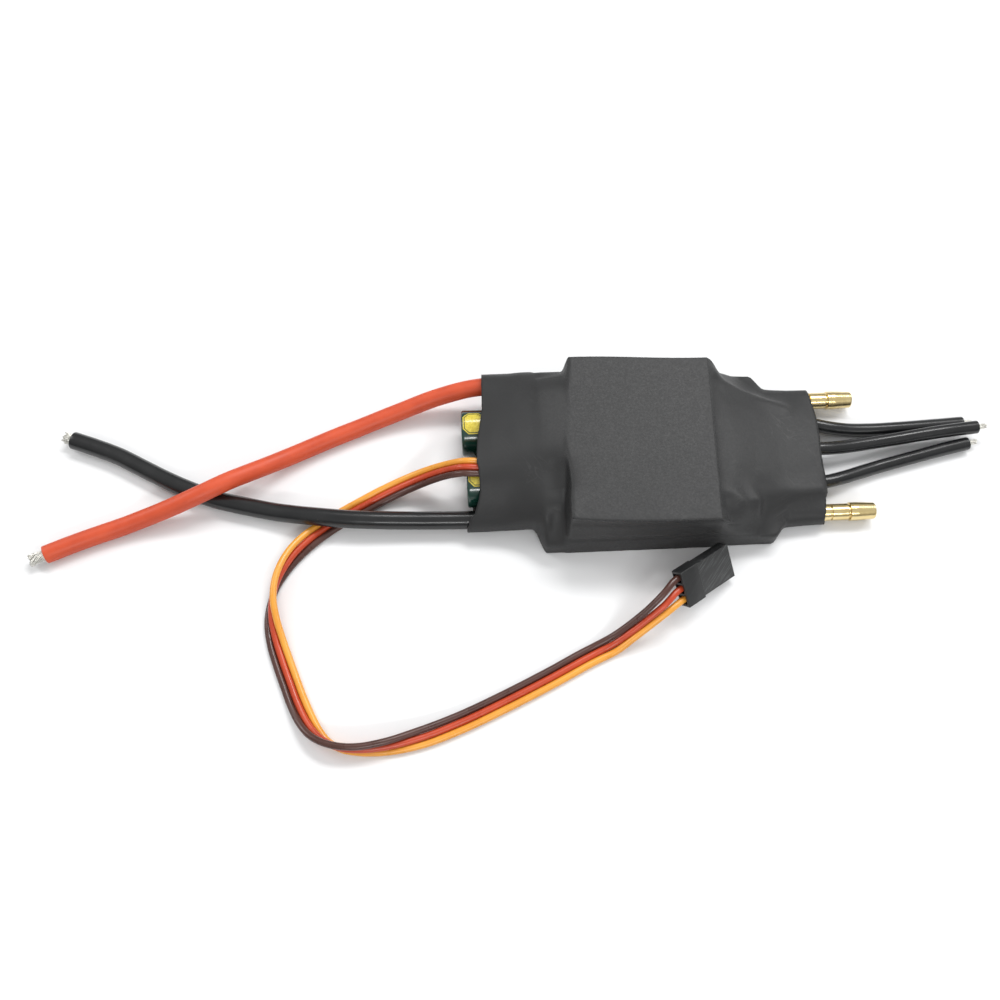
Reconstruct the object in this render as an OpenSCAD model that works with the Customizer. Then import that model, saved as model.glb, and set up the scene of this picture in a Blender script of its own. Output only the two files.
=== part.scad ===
// Water-cooled speed controller for a brushless boat motor.
// Origin: middle of the cooling plate, on the face that the controller lies on.
// +X points to the motor end with the water nipples, +Z points up.

/* [Cooling plate] */
// Length of the cooling plate, along X
plate_length = 48; // [44:0.5:50]
// Width of the cooling plate, along Y
plate_width = 39.4; // [38:0.2:40]
// Thickness of the cooling plate
plate_thickness = 4; // [3.8:0.1:4.2]
// Diameter of the drilled water channels
channel_bore = 2.6; // [1.6:0.1:2.8]

/* [Water nipples] */
// Distance between the axes of the two nipples
nipple_spacing = 28.2; // [26:0.2:29]
// How far each nipple stands out of the plate
nipple_reach = 24; // [18:0.2:30]
// Largest diameter of the hose barb
barb_diameter = 4.1; // [4:0.1:4.3]
// Diameter of the plain lands behind the barb
land_diameter = 3.7; // [3.5:0.1:3.8]
// Diameter of the water bore
nipple_bore = 2.2; // [1.4:0.1:2.4]

/* [Heat spreader] */
// Length of the heat spreader, along X
spreader_length = 29.3; // [26:0.1:30]
// Width of the heat spreader, along Y
spreader_width = 38; // [34:0.5:38.4]
// Thickness of the heat spreader
spreader_thickness = 2; // [1:0.5:2.5]
// Turn of the upper stack on the cooling plate, as assembled
stack_skew = -2.9; // [-3.2:0.1:0]

/* [Boards] */
// Length of the power board
power_board_length = 36; // [33:0.5:36]
// Width of the power board
power_board_width = 36; // [32:0.5:36.5]
// Thickness of the power board
power_board_thickness = 1.6; // [1:0.1:1.6]
// Length of the control board
control_board_length = 28; // [24:0.5:28]
// Width of the control board
control_board_width = 34; // [28:0.5:35]

/* [Capacitors] */
// Diameter of each capacitor with its sleeve
capacitor_diameter = 10.34; // [10.2:0.02:10.4]
// Length of each capacitor
capacitor_length = 17; // [14:0.5:17.2]

/* [Sleeve] */
// Wall of the shrunk sleeve
sleeve_wall = 0.5; // [0.3:0.05:0.5]

/* [Leads] */
// Outer diameter of the battery leads
battery_lead_diameter = 4; // [3.4:0.1:4]
// Outer diameter of the motor leads
motor_lead_diameter = 3; // [2.6:0.1:3]
// Outer diameter of each servo wire
servo_wire_diameter = 1.44; // [1.1:0.02:1.46]
// Length of bare tinned strand at each free end
tip_length = 3; // [2:0.5:4]

/* [Servo plug] */
// Length of the plug housing
plug_length = 14.2; // [13.6:0.1:14.4]
// Width of the plug housing
plug_width = 7.7; // [7.6:0.1:8]
// Thickness of the plug housing
plug_thickness = 2.6; // [2.5:0.1:2.8]

/* [Hidden] */

$fn = 48;

// Heights of the stack, from the resting face up
plate_bottom = sleeve_wall;
plate_top = plate_bottom + plate_thickness;
pad_thickness = 0.5;
lower_pad_top = plate_top + pad_thickness;
transistor_height = 1;
board_bottom = lower_pad_top + transistor_height;
board_top = board_bottom + power_board_thickness;
header_height = 2.6;
control_thickness = 1;
control_bottom = board_top + header_height;
control_top = control_bottom + control_thickness;
chip_height = 1;
chip_top = control_top + chip_height;
block_top = 15.6;
spreader_top = block_top - sleeve_wall;
spreader_bottom = spreader_top - spreader_thickness;

// Places in plan
plate_end = plate_length / 2;
stack_x = -3.5;
stack_y = 0.15;
nipple_axis_z = plate_bottom + plate_thickness / 2;
nipple_y = nipple_spacing / 2;
cross_channel_x = -17;
rear_capacitor_end = -42.2;
front_capacitor_end = -41.4;
capacitor_z = capacitor_diameter / 2 + sleeve_wall + 0.03;
rear_capacitor_y = 7.5;
front_capacitor_y = -5.3;
capacitor_shrink = 0.17;
capacitor_lead_pitch = 5;
capacitor_lead_radius = 0.3;

// Leads
battery_r = battery_lead_diameter / 2;
battery_core_r = 1.2;
motor_r = motor_lead_diameter / 2;
motor_core_r = 0.85;
servo_r = servo_wire_diameter / 2;
servo_core_r = 0.36;
servo_pitch = 1.5;
lead_sides = 10;
thin_sides = 8;

// Centre line of each battery lead, from its solder joint to its free end
red_route = [
    [-22, 15.8, 8.85], [-24, 15.8, 8.85], [-28, 16.9, 8.7], [-32, 17.8, 8.2],
    [-38, 18.4, 7.2], [-47, 17.7, 4.9],
    [-56, 15.3, 3.1], [-67.5, 11.2, 2], [-73.5, 8.7, 2], [-79, 6.1, 2.3], [-84.5, 3.2, 3.2],
    [-90, 0.1, 4.7], [-94, -2.2, 5.8], [-97.5, -4.1, 6.1], [-101, -5.6, 5.7], [-106, -7.2, 4.4],
    [-111.5, -8.7, 3], [-117, -10.4, 2.2], [-122, -12, 2], [-128, -14.2, 2], [-133, -16.2, 2]
];
black_route = [
    [-22, -12.4, 8.85], [-24, -12.4, 8.85], [-27.5, -12.7, 6.8], [-31, -12.8, 4.4],
    [-36, -12.7, 3.3], [-41, -12.6, 3],
    [-48, -12.4, 3], [-56.5, -12.1, 3.2], [-63, -11.8, 3.5], [-68, -11.4, 3.6], [-74, -10.6, 3.6],
    [-79, -9.6, 3], [-84, -8.4, 2.3], [-88, -7.3, 2], [-92.5, -6.1, 2], [-97.5, -4.6, 2],
    [-101.5, -2.9, 2], [-105.5, -1, 2], [-110, 1.4, 2], [-115, 4.3, 2], [-119.5, 6.9, 2],
    [-125, 9.4, 2], [-130.5, 11.6, 2]
];

// Centre line of each motor lead
rear_motor_route = [
    [17, 8.4, 8.6], [19, 8.4, 8.6], [22, 8.4, 8.3], [25, 8.3, 7.4], [29, 8.1, 6],
    [33.5, 7.9, 4.4], [38, 7.6, 3.1],
    [42, 7.1, 2.2], [46, 6.7, 1.7], [52, 6.5, 1.5], [60, 6.7, 1.5], [67, 7, 1.5], [73, 7.3, 1.5]
];
middle_motor_route = [
    [17, 0.4, 8.6], [19, 0.4, 8.6], [22, 0.4, 8.3], [25, 0.5, 7.7], [29, 0.6, 6.6],
    [33.5, 0.8, 5.1], [38.5, 1, 3.9],
    [43, 1.4, 3.3], [47.5, 2, 3], [52, 2.6, 2.9], [57, 3.2, 3], [62, 3.8, 3.3], [68, 4.4, 3.6],
    [75, 5, 3.7]
];
front_motor_route = [
    [17, -7.6, 8.6], [19, -7.6, 8.6], [22, -7.6, 8.3], [25, -7.5, 7.4], [29, -7.4, 6],
    [33.5, -7.2, 4.4], [38, -6.9, 3.1],
    [42.5, -5.7, 2.2], [47, -4.3, 1.7], [51.5, -3, 1.5], [56, -1.9, 1.5], [61, -0.7, 1.5], [66, 0.5, 1.5],
    [73, 2, 1.5]
];

// Middle of the flat servo lead: x, y, clear height under its lowest wire, and roll.
// At roll 0 the yellow wire is on the right of the direction of travel; the lead makes a whole
// turn on the way, which stands it on edge twice.
ribbon_route = [
    [-19.4, -3.6, 11.3, 0], [-21, -3.6, 11.3, 0], [-25, -3.8, 11, 0], [-32, -4, 10.95, 0],
    [-39, -4.1, 10.95, 0], [-41.7, -3.9, 10.9, 0], [-44.4, -3.4, 9.3, 0], [-47.4, -2.9, 6.9, 0],
    [-50.5, -2.8, 4.7, 0],
    [-55, -3.4, 2.3, 0], [-60, -5, 0.8, 0], [-64.5, -7.1, 0.15, 0], [-69, -9.6, 0, 0],
    [-73, -12.2, 0, 4], [-76.5, -15.1, 0, 22], [-79.5, -18.5, 0, 45], [-81.6, -22, 0, 68],
    [-83, -25.5, 0, 90], [-83.6, -29, 0, 110], [-83.5, -33, 0, 136], [-82.5, -37.5, 0, 160],
    [-81, -42, 0, 174], [-79.3, -46.5, 0, 180], [-77.7, -50.5, 0, 186], [-76, -54, 0, 200],
    [-74, -57, 0, 224], [-71.5, -59.2, 0, 252], [-68.5, -60.5, 0, 270], [-65, -61, 0, 281],
    [-60.5, -60.8, 0, 298], [-53, -59.2, 0, 332], [-44.5, -56.3, 0, 352], [-36, -52.7, 0, 360],
    [-26, -48.1, 0, 360], [-16, -43.2, 0, 360]
];
// Where the three wires part and rise to the plug
yellow_tail = [[-11.5, -42.9, 0.9], [-7.9, -40.8, 2.6], [-3.6, -38.2, 4.6], [-0.3, -36.1, 5.8]];
red_tail = [[-11.9, -41.4, 1.3], [-8.2, -39.5, 3.4], [-4.4, -37.2, 5.5], [-1.1, -35, 7.1]];
brown_tail = [[-12.4, -40.1, 2], [-8.6, -38.2, 4.3], [-5, -36, 6.7], [-1.6, -33.3, 8.8]];

// The plug rests on its front corner at the far end; its wires hold up the other end
plug_origin = [2.5, -34.1, 3.55];
plug_turn = [43.5, 14, 33.5];
pin_pitch = 2.54;
plug_collar_length = 4.9;
plug_collar_wall = 0.25;
cavity_size = 2;
wire_entry_depth = 2.4;

// Sleeve outlines: [y, z] round the section, from the front bottom edge to the back and over the top
half_sleeve = plate_width / 2 + sleeve_wall;
edge_top = plate_top + sleeve_wall;
cut_outline = [
    [-13.4, 0.45], [-5.5, 0], [9.6, 0], [20.2, 5.2], [21.2, 7.2], [20.6, 9.4], [18.6, 11.1],
    [13.5, 11.7], [8, 12.3], [-1.5, 13.2], [-7.1, 12.9], [-12, 9.2], [-15.4, 4.9], [-15.4, 1.9]
];
capacitor_outline = [
    [-13.4, 0.45], [-5.5, 0], [9.6, 0], [20.2, 5.2], [21.2, 7.2], [20.6, 9.4], [18.6, 11.4],
    [13.5, 12.8], [8, 13.6], [-1.5, 14.1], [-7.1, 13.1], [-12, 9.5], [-15.4, 5.4], [-15.4, 1.9]
];
lead_outline = [
    [-13.4, 0.3], [-5.5, 0], [9.4, 0], [20.2, 4.8], [21.2, 7.2], [20.4, 10], [18.6, 12],
    [13.5, 13.9], [8, 14.7], [-1.5, 14.9], [-7.1, 13.4], [-12.8, 10.9], [-16, 7.8], [-15.8, 3]
];
shoulder_outline = [
    [-half_sleeve, 0], [-7, 0], [9.6, 0], [half_sleeve, 0], [half_sleeve, edge_top], [20.2, 9.4],
    [18.8, 12.2], [13.5, 14.6], [8, 15.1], [-1.5, 15.2], [-7.1, 13.6], [-13, 12],
    [-17, 8.8], [-half_sleeve, edge_top]
];
corner_outline = [
    [-half_sleeve, 0], [-7, 0], [9.6, 0], [half_sleeve, 0], [half_sleeve, edge_top], [20.2, 9.4],
    [18.8, 12.6], [13.5, 15.3], [8, 15.5], [-1.5, 15.5], [-7.1, 14.2], [-13, 12.2],
    [-17.2, 8.9], [-half_sleeve, edge_top]
];
ramp_outline = [
    [-half_sleeve, 0], [-7, 0], [7, 0], [half_sleeve, 0], [half_sleeve, edge_top], [19.8, 7.6],
    [17.4, 10], [10.5, 12.7], [4, 13.3], [-4, 13.3], [-10.5, 12.7], [-17.4, 10], [-19.8, 7.6],
    [-half_sleeve, edge_top]
];
plate_end_outline = [
    [-half_sleeve, 0], [-7, 0], [7, 0], [half_sleeve, 0], [half_sleeve, edge_top], [17.8, edge_top + 0.3],
    [14.5, 6.6], [10.4, 9.7], [4, 10.2], [-3, 10.2], [-9.7, 9.7], [-14, 6.6], [-17.8, edge_top + 0.3],
    [-half_sleeve, edge_top]
];
neck_outline = [
    [-16.8, 0], [-7, 0], [7, 0], [16.8, 0], [17.2, 3.8], [15.6, 5.2], [13.4, 6.2], [10.4, 8.5], [4, 9],
    [-3, 9], [-9.8, 8.5], [-13, 6.2], [-15.6, 5.2], [-17.2, 3.8]
];
motor_outline = [
    [-15.8, 0], [-7, 0], [7, 0], [15.8, 0], [16.9, 2.2], [16.3, 4.2], [14.4, 5.1], [9, 5.6], [4, 6],
    [-1, 6.1], [-8, 5.6], [-14.4, 5.1], [-16.3, 4.2], [-16.9, 2.2]
];
function block_outline(shift, top) =
    let (half = spreader_width / 2 + sleeve_wall + 0.05)
        [
            [-half_sleeve, 0], [-7, 0], [7, 0], [half_sleeve, 0], [half_sleeve, edge_top],
            [(half_sleeve + half + shift) / 2, 10], [half + shift, top], [12, top], [4, top], [-4, top],
            [-12, top], [-half + shift, top], [(-half_sleeve - half + shift) / 2, 10],
            [-half_sleeve, edge_top]
        ];
// Stations along the sleeve: x on the centre line, slant of the section, outline
skew_slope = tan(-stack_skew);
skew_shift = spreader_length / 2 * sin(-stack_skew);
sleeve_stations = [
    [-39.3, 0.1, cut_outline],
    [-33, 0.07, capacitor_outline],
    [-27, 0.04, lead_outline],
    [-24.6, 0, shoulder_outline],
    [-20.4, skew_slope, corner_outline],
    [-18.8, skew_slope, block_outline(stack_y + skew_shift, block_top)],
    [11.7, skew_slope, block_outline(stack_y - skew_shift, block_top)],
    [12.6, skew_slope, block_outline(stack_y - skew_shift, block_top - 0.7)],
    [17, 0.02, ramp_outline],
    [24.6, 0, plate_end_outline],
    [28, 0, neck_outline],
    [38.2, 0, motor_outline]
];

// Unit vector along v
function unit(v) = v / norm(v);

// Direction of travel at point i of a route
function travel(route, i) =
    unit(route[min(i + 1, len(route) - 1)] - route[max(i - 1, 0)]);

// Level vector on the right of the travel, and the one that points up from it
function right_of(route, i) = unit(cross(travel(route, i), [0, 0, 1]));
function above(route, i) = cross(right_of(route, i), travel(route, i));

// Ring of points round point i of a route
function tube_ring(route, i, r, sides) = [
    for (k = [0:sides - 1])
        route[i] + r * (cos(360 * k / sides) * right_of(route, i) + sin(360 * k / sides) * above(route, i))
];

// Round tube swept along a route
module tube(route, r, sides) {
    rings = len(route);
    points = [for (i = [0:rings - 1]) each tube_ring(route, i, r, sides)];
    start_cap = [for (k = [sides - 1:-1:0]) k];
    end_cap = [for (k = [0:sides - 1]) (rings - 1) * sides + k];
    wall = [
        for (i = [0:rings - 2], k = [0:sides - 1])
            let (a = i * sides + k, b = i * sides + (k + 1) % sides)
                each [[a, b, a + sides], [b, b + sides, a + sides]]
    ];
    polyhedron(points, concat([start_cap], wall, [end_cap]), convexity = 6);
}

// A point of the plug, from its own length, width and thickness directions
function rotate_x(p, a) = [p.x, p.y * cos(a) - p.z * sin(a), p.y * sin(a) + p.z * cos(a)];
function rotate_y(p, a) = [p.x * cos(a) + p.z * sin(a), p.y, p.z * cos(a) - p.x * sin(a)];
function rotate_z(p, a) = [p.x * cos(a) - p.y * sin(a), p.x * sin(a) + p.y * cos(a), p.z];
function plug_point(p) =
    plug_origin + rotate_z(rotate_y(rotate_x(p, plug_turn.x), plug_turn.y), plug_turn.z);

// Route of one servo wire: side is 1 for yellow, 0 for red and -1 for brown
ribbon_middle = [
    for (p = ribbon_route) [p[0], p[1], p[2] + servo_r + servo_pitch * abs(sin(p[3]))]
];
ribbon_level = [for (p = ribbon_route) [p[0], p[1], 0]];
function ribbon_wire(side) = [
    for (i = [0:len(ribbon_route) - 1])
        ribbon_middle[i] + side * servo_pitch * (
            cos(ribbon_route[i][3]) * right_of(ribbon_level, i) + sin(ribbon_route[i][3]) * [0, 0, 1])
];
function plug_entry(side, depth) =
    plug_point([depth, plug_width / 2 - side * pin_pitch, plug_thickness / 2]);
function servo_route(side, tail) =
    concat(ribbon_wire(side), tail, [plug_entry(side, -0.8), plug_entry(side, wire_entry_depth)]);

// Outline moved inwards by t, keeping its corners
function inset_corner(before, here, after, t) =
    let (u = unit(here - before), v = unit(after - here), n = unit([-u.y - v.y, u.x + v.x]))
        here + n * t / (n * [-u.y, u.x]);
function inset(outline, t) = [
    for (i = [0:len(outline) - 1])
        inset_corner(outline[(i + len(outline) - 1) % len(outline)], outline[i],
                     outline[(i + 1) % len(outline)], t)
];
function station_ring(station, t) = [
    for (p = inset(station[2], t)) [station[0] + station[1] * p.x, p.x, p.y]
];

module heat_shrink_sleeve() {
    rings = len(sleeve_stations);
    sides = len(capacitor_outline);
    outer = [for (s = sleeve_stations) each station_ring(s, 0)];
    inner = [for (s = sleeve_stations) each station_ring(s, sleeve_wall)];
    count = rings * sides;
    outer_wall = [
        for (i = [0:rings - 2], k = [0:sides - 1])
            let (a = i * sides + k, b = i * sides + (k + 1) % sides)
                each [[a, a + sides, b], [b, a + sides, b + sides]]
    ];
    inner_wall = [for (f = outer_wall) [f[0] + count, f[2] + count, f[1] + count]];
    battery_rim = [
        for (k = [0:sides - 1])
            let (b = (k + 1) % sides) each [[k, b, k + count], [b, b + count, k + count]]
    ];
    motor_rim = [for (f = battery_rim) [for (v = [f[0], f[2], f[1]]) v + (rings - 1) * sides]];
    color([0.16, 0.16, 0.17])
        polyhedron(
            concat(outer, inner),
            concat(outer_wall, inner_wall, battery_rim, motor_rim),
            convexity = 8
        );
}

// Turns a shape that is drawn along Z so that it runs along X
module along_x() {
    rotate([0, 90, 0])
        children();
}

// Places a shape in the frame of the upper stack
module on_stack() {
    translate([stack_x, stack_y, 0])
        rotate(stack_skew)
            children();
}

// Plain block standing on z, centred on x and y
module block(x, y, z, length, width, height) {
    translate([x - length / 2, y - width / 2, z])
        cube([length, width, height]);
}

stud_r = 1.5;
stud_length = 6;
seal_thickness = 0.4;
plug_plate_r = 1.8;
plug_plate_length = 2;

module cooling_plate() {
    half = plate_width / 2;
    color([0.75, 0.76, 0.78])
        difference() {
            block(0, 0, plate_bottom, plate_length, plate_width, plate_thickness);
            for (side = [-1, 1]) {
                translate([cross_channel_x, side * nipple_y, nipple_axis_z])
                    along_x()
                        cylinder(r = channel_bore / 2, h = plate_end - cross_channel_x + 1);
                translate([plate_end - stud_length, side * nipple_y, nipple_axis_z])
                    along_x()
                        cylinder(r = stud_r, h = stud_length + 1);
            }
            translate([cross_channel_x, -half - 1, nipple_axis_z])
                rotate([-90, 0, 0])
                    cylinder(r = channel_bore / 2, h = half + 1 + nipple_y);
            translate([cross_channel_x, -half - 1, nipple_axis_z])
                rotate([-90, 0, 0])
                    cylinder(r = plug_plate_r, h = plug_plate_length + 1);
        }
}

module channel_plug() {
    color([0.8, 0.68, 0.35])
        translate([cross_channel_x, -plate_width / 2, nipple_axis_z])
            rotate([-90, 0, 0])
                cylinder(r = plug_plate_r, h = plug_plate_length);
}

// Nipple profile: radius and distance from the end face of the plate
barb_r = barb_diameter / 2;
land_r = land_diameter / 2;
groove_r = 1.6;
groove_width = 0.3;
barb_length = 5.6;
barb_land = 1.6;
second_land = 3.6;
module water_nipple(y) {
    barb_start = nipple_reach - barb_length;
    second_start = barb_start - groove_width - second_land;
    color([0.83, 0.68, 0.33])
        translate([plate_end, y, nipple_axis_z])
            along_x()
                rotate_extrude()
                    polygon([
                        [nipple_bore / 2, -stud_length], [stud_r, -stud_length], [stud_r, seal_thickness],
                        [land_r, seal_thickness], [land_r, second_start - groove_width],
                        [groove_r, second_start - groove_width], [groove_r, second_start],
                        [land_r, second_start], [land_r, barb_start - groove_width],
                        [groove_r, barb_start - groove_width], [groove_r, barb_start],
                        [barb_r, barb_start], [barb_r, barb_start + barb_land],
                        [barb_r - 0.22, nipple_reach - 0.25], [barb_r - 0.38, nipple_reach],
                        [nipple_bore / 2, nipple_reach]
                    ]);
}

module rear_water_nipple() {
    water_nipple(nipple_y);
}

module front_water_nipple() {
    water_nipple(-nipple_y);
}

module nipple_seals() {
    color([0.1, 0.1, 0.1])
        for (side = [-1, 1])
            translate([plate_end, side * nipple_y, nipple_axis_z])
                along_x()
                    difference() {
                        cylinder(r = land_r, h = seal_thickness);
                        translate([0, 0, -1])
                            cylinder(r = stud_r, h = seal_thickness + 2);
                    }
}

pad_length = 30;
pad_width = 34;
module lower_thermal_pad() {
    color([0.55, 0.6, 0.68])
        on_stack()
            block(0, 0, plate_top, pad_length, pad_width, pad_thickness);
}

// One power transistor package with its row of pins on the board side
transistor_x = 5;
transistor_y = 6;
module transistor_bank(z, columns, rows) {
    for (x = columns, y = rows)
        block(x, y, z, transistor_x, transistor_y, transistor_height);
}

module lower_transistors() {
    color([0.12, 0.12, 0.13])
        on_stack()
            transistor_bank(lower_pad_top, [-9, 0, 9], [-12, -4, 4, 12]);
}

module power_board() {
    color([0.1, 0.35, 0.2])
        on_stack()
            block(1, 0, board_bottom, power_board_length, power_board_width, power_board_thickness);
}

module upper_transistors() {
    color([0.12, 0.12, 0.13])
        on_stack()
            transistor_bank(board_top, [-5, 5], [-8, 0, 8]);
}

module current_shunt() {
    color([0.6, 0.6, 0.62])
        on_stack()
            block(-11.5, -6, board_top, 3.2, 6.4, 0.6);
}

module power_ceramic_capacitors() {
    color([0.72, 0.6, 0.45])
        on_stack()
            for (y = [2, 5, 8, 11])
                block(-11.5, y, board_top, 3.2, 1.6, 1.6);
}

header_pins = 10;
header_pitch = 2.54;
module board_header() {
    span = header_pins * header_pitch;
    color([0.15, 0.15, 0.16])
        on_stack()
            for (y = [-1, 1])
                block(0, y * 15, board_top, span, 2, header_height);
}

module control_board() {
    color([0.1, 0.35, 0.2])
        on_stack()
            block(-1, 0, control_bottom, control_board_length, control_board_width, control_thickness);
}

module microcontroller() {
    color([0.1, 0.1, 0.11])
        on_stack()
            block(0, 0, control_top, 7, 7, chip_height);
}

module gate_drivers() {
    color([0.12, 0.12, 0.13])
        on_stack()
            for (y = [-8, 0, 8])
                block(8, y, control_top, 3, 5, 0.9);
}

module voltage_regulators() {
    color([0.13, 0.13, 0.14])
        on_stack()
            for (y = [9, -9])
                block(-6, y, control_top, 6, 6.5, chip_height);
}

module signal_resistors() {
    color([0.2, 0.2, 0.22])
        on_stack()
            for (x = [-1, 1, 3], y = [-13, -11, 11, 13])
                block(x + 1.5, y, control_top, 0.8, 1.6, 0.45);
}

module upper_thermal_pad() {
    color([0.55, 0.6, 0.68])
        on_stack()
            block(0, 0, chip_top, 26, 32, spreader_bottom - chip_top);
}

module heat_spreader() {
    color([0.75, 0.76, 0.78])
        on_stack()
            block(0, 0, spreader_bottom, spreader_length, spreader_width, spreader_thickness);
}

can_r = capacitor_diameter / 2 - capacitor_shrink;
bung_length = 2.4;
bung_r = 4.2;
can_wall = 0.4;
module capacitor_can(end_x, y) {
    neck = capacitor_length - 4;
    inner_end = capacitor_length - capacitor_shrink;
    color([0.8, 0.8, 0.82])
        translate([end_x, y, capacitor_z])
            along_x()
                rotate_extrude()
                    polygon([
                        [0, capacitor_shrink], [can_r - 0.5, capacitor_shrink],
                        [can_r, capacitor_shrink + 0.5],
                        [can_r, neck], [can_r - 0.4, neck + 0.5], [can_r, neck + 1],
                        [can_r, inner_end], [bung_r, inner_end],
                        [bung_r, inner_end - bung_length], [0, inner_end - bung_length]
                    ]);
}

module rear_capacitor_can() {
    capacitor_can(rear_capacitor_end, rear_capacitor_y);
}

module front_capacitor_can() {
    capacitor_can(front_capacitor_end, front_capacitor_y);
}

module capacitor_sleeve(end_x, y) {
    outer_r = capacitor_diameter / 2;
    lip_r = can_r - 1;
    color([0.04, 0.25, 0.2])
        translate([end_x, y, capacitor_z])
            along_x()
                rotate_extrude()
                    polygon([
                        [lip_r, 0], [outer_r - 0.5, 0], [outer_r, 0.5], [outer_r, capacitor_length],
                        [can_r, capacitor_length], [can_r, capacitor_shrink + 0.5],
                        [can_r - 0.5, capacitor_shrink], [lip_r, capacitor_shrink]
                    ]);
}

module rear_capacitor_sleeve() {
    capacitor_sleeve(rear_capacitor_end, rear_capacitor_y);
}

module front_capacitor_sleeve() {
    capacitor_sleeve(front_capacitor_end, front_capacitor_y);
}

// The end and the height across of each capacitor
capacitor_places = [[rear_capacitor_end, rear_capacitor_y], [front_capacitor_end, front_capacitor_y]];
bung_offset = capacitor_length - capacitor_shrink - bung_length;
capacitor_lead_end = -17;

// Two round leads side by side, or the holes that they fit
module capacitor_lead_pair(start, length) {
    for (side = [-1, 1])
        translate([start, side * capacitor_lead_pitch / 2, 0])
            along_x()
                cylinder(r = capacitor_lead_radius, h = length);
}

module capacitor_bungs() {
    color([0.08, 0.08, 0.08])
        for (place = capacitor_places)
            translate([place[0] + bung_offset, place[1], capacitor_z])
                difference() {
                    along_x()
                        cylinder(r = bung_r, h = bung_length);
                    capacitor_lead_pair(-1, bung_length + 2);
                }
}

module capacitor_leads() {
    color([0.8, 0.8, 0.8])
        for (place = capacitor_places)
            translate([0, place[1], capacitor_z])
                capacitor_lead_pair(place[0] + bung_offset, capacitor_lead_end - place[0] - bung_offset);
}

module red_battery_lead() {
    color([0.85, 0.3, 0.15])
        tube(red_route, battery_r, lead_sides);
}

module black_battery_lead() {
    color([0.1, 0.1, 0.1])
        tube(black_route, battery_r, lead_sides);
}

module rear_motor_lead() {
    color([0.1, 0.1, 0.1])
        tube(rear_motor_route, motor_r, thin_sides);
}

module middle_motor_lead() {
    color([0.1, 0.1, 0.1])
        tube(middle_motor_route, motor_r, thin_sides);
}

module front_motor_lead() {
    color([0.1, 0.1, 0.1])
        tube(front_motor_route, motor_r, thin_sides);
}

// Bare strands that carry on from the free end of a lead
module lead_tip(route, core_r) {
    last = len(route) - 1;
    heading = travel(route, last);
    color([0.75, 0.75, 0.72])
        translate(route[last])
            rotate([0, 0, atan2(heading.y, heading.x)])
                rotate([0, -asin(heading.z), 0])
                    along_x()
                        cylinder(r = core_r, h = tip_length);
}

module red_lead_tip() {
    lead_tip(red_route, battery_core_r);
}

module black_lead_tip() {
    lead_tip(black_route, battery_core_r);
}

module rear_motor_tip() {
    lead_tip(rear_motor_route, motor_core_r);
}

module middle_motor_tip() {
    lead_tip(middle_motor_route, motor_core_r);
}

module front_motor_tip() {
    lead_tip(front_motor_route, motor_core_r);
}

core_reach = 4;
battery_starts = [red_route[0], black_route[0]];
motor_starts = [rear_motor_route[0], middle_motor_route[0], front_motor_route[0]];

// Stripped cores that lie on the power board
module board_core(start, direction, core_r) {
    translate([direction > 0 ? start.x : start.x - core_reach, start.y, start.z])
        along_x()
            cylinder(r = core_r, h = core_reach);
}

module lead_cores() {
    color([0.75, 0.75, 0.72]) {
        for (start = battery_starts)
            board_core(start, 1, battery_core_r);
        for (start = motor_starts)
            board_core(start, -1, motor_core_r);
    }
}

// Solder round one core, on the board
module solder_joint(x, y, core_z, core_r) {
    joint_length = 1.8;
    height = core_z + 0.4 * core_r - board_top;
    color([0.7, 0.7, 0.72])
        difference() {
            translate([x - joint_length / 2, y, board_top])
                rotate([90, 0, 90])
                    linear_extrude(height = joint_length)
                        polygon([
                            [-core_r - 0.7, 0], [core_r + 0.7, 0], [core_r + 0.2, height],
                            [-core_r - 0.2, height]
                        ]);
            translate([x - joint_length, y, core_z])
                along_x()
                    cylinder(r = core_r, h = 2 * joint_length);
        }
}

module solder_joints() {
    for (start = battery_starts)
        solder_joint(start.x + core_reach - 0.9, start.y, start.z, battery_core_r);
    for (start = motor_starts)
        solder_joint(start.x - core_reach + 0.9, start.y, start.z, motor_core_r);
}

module yellow_servo_wire() {
    color([0.95, 0.7, 0.2])
        tube(servo_route(1, yellow_tail), servo_r, thin_sides);
}

module red_servo_wire() {
    color([0.85, 0.3, 0.15])
        tube(servo_route(0, red_tail), servo_r, thin_sides);
}

module brown_servo_wire() {
    color([0.35, 0.2, 0.17])
        tube(servo_route(-1, brown_tail), servo_r, thin_sides);
}

servo_core_reach = 2.6;
module servo_wire_cores() {
    color([0.75, 0.75, 0.72])
        for (side = [-1, 0, 1])
            translate([ribbon_route[0][0], ribbon_wire(side)[0].y, control_top + servo_core_r])
                along_x()
                    cylinder(r = servo_core_r, h = servo_core_reach);
}

// Housing in its own frame: length on X from the wire end, width on Y, thickness on Z
module plug_frame() {
    translate(plug_origin)
        rotate(plug_turn)
            children();
}

contact_slot = 0.9;
front_wall = 1;
module plug_housing() {
    middle = plug_width / 2;
    color([0.07, 0.07, 0.08])
        plug_frame()
            difference() {
                union() {
                    cube([plug_length, plug_width, plug_thickness]);
                    translate([0, -plug_collar_wall, 0])
                        cube([plug_collar_length, plug_width + 2 * plug_collar_wall,
                              plug_thickness + plug_collar_wall]);
                }
                for (side = [-1, 0, 1]) {
                    block(plug_length / 2 - front_wall, middle + side * pin_pitch,
                          (plug_thickness - cavity_size) / 2, plug_length, cavity_size, cavity_size);
                    block(plug_length, middle + side * pin_pitch,
                          (plug_thickness - contact_slot) / 2, 4, contact_slot, contact_slot);
                }
            }
}

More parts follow.
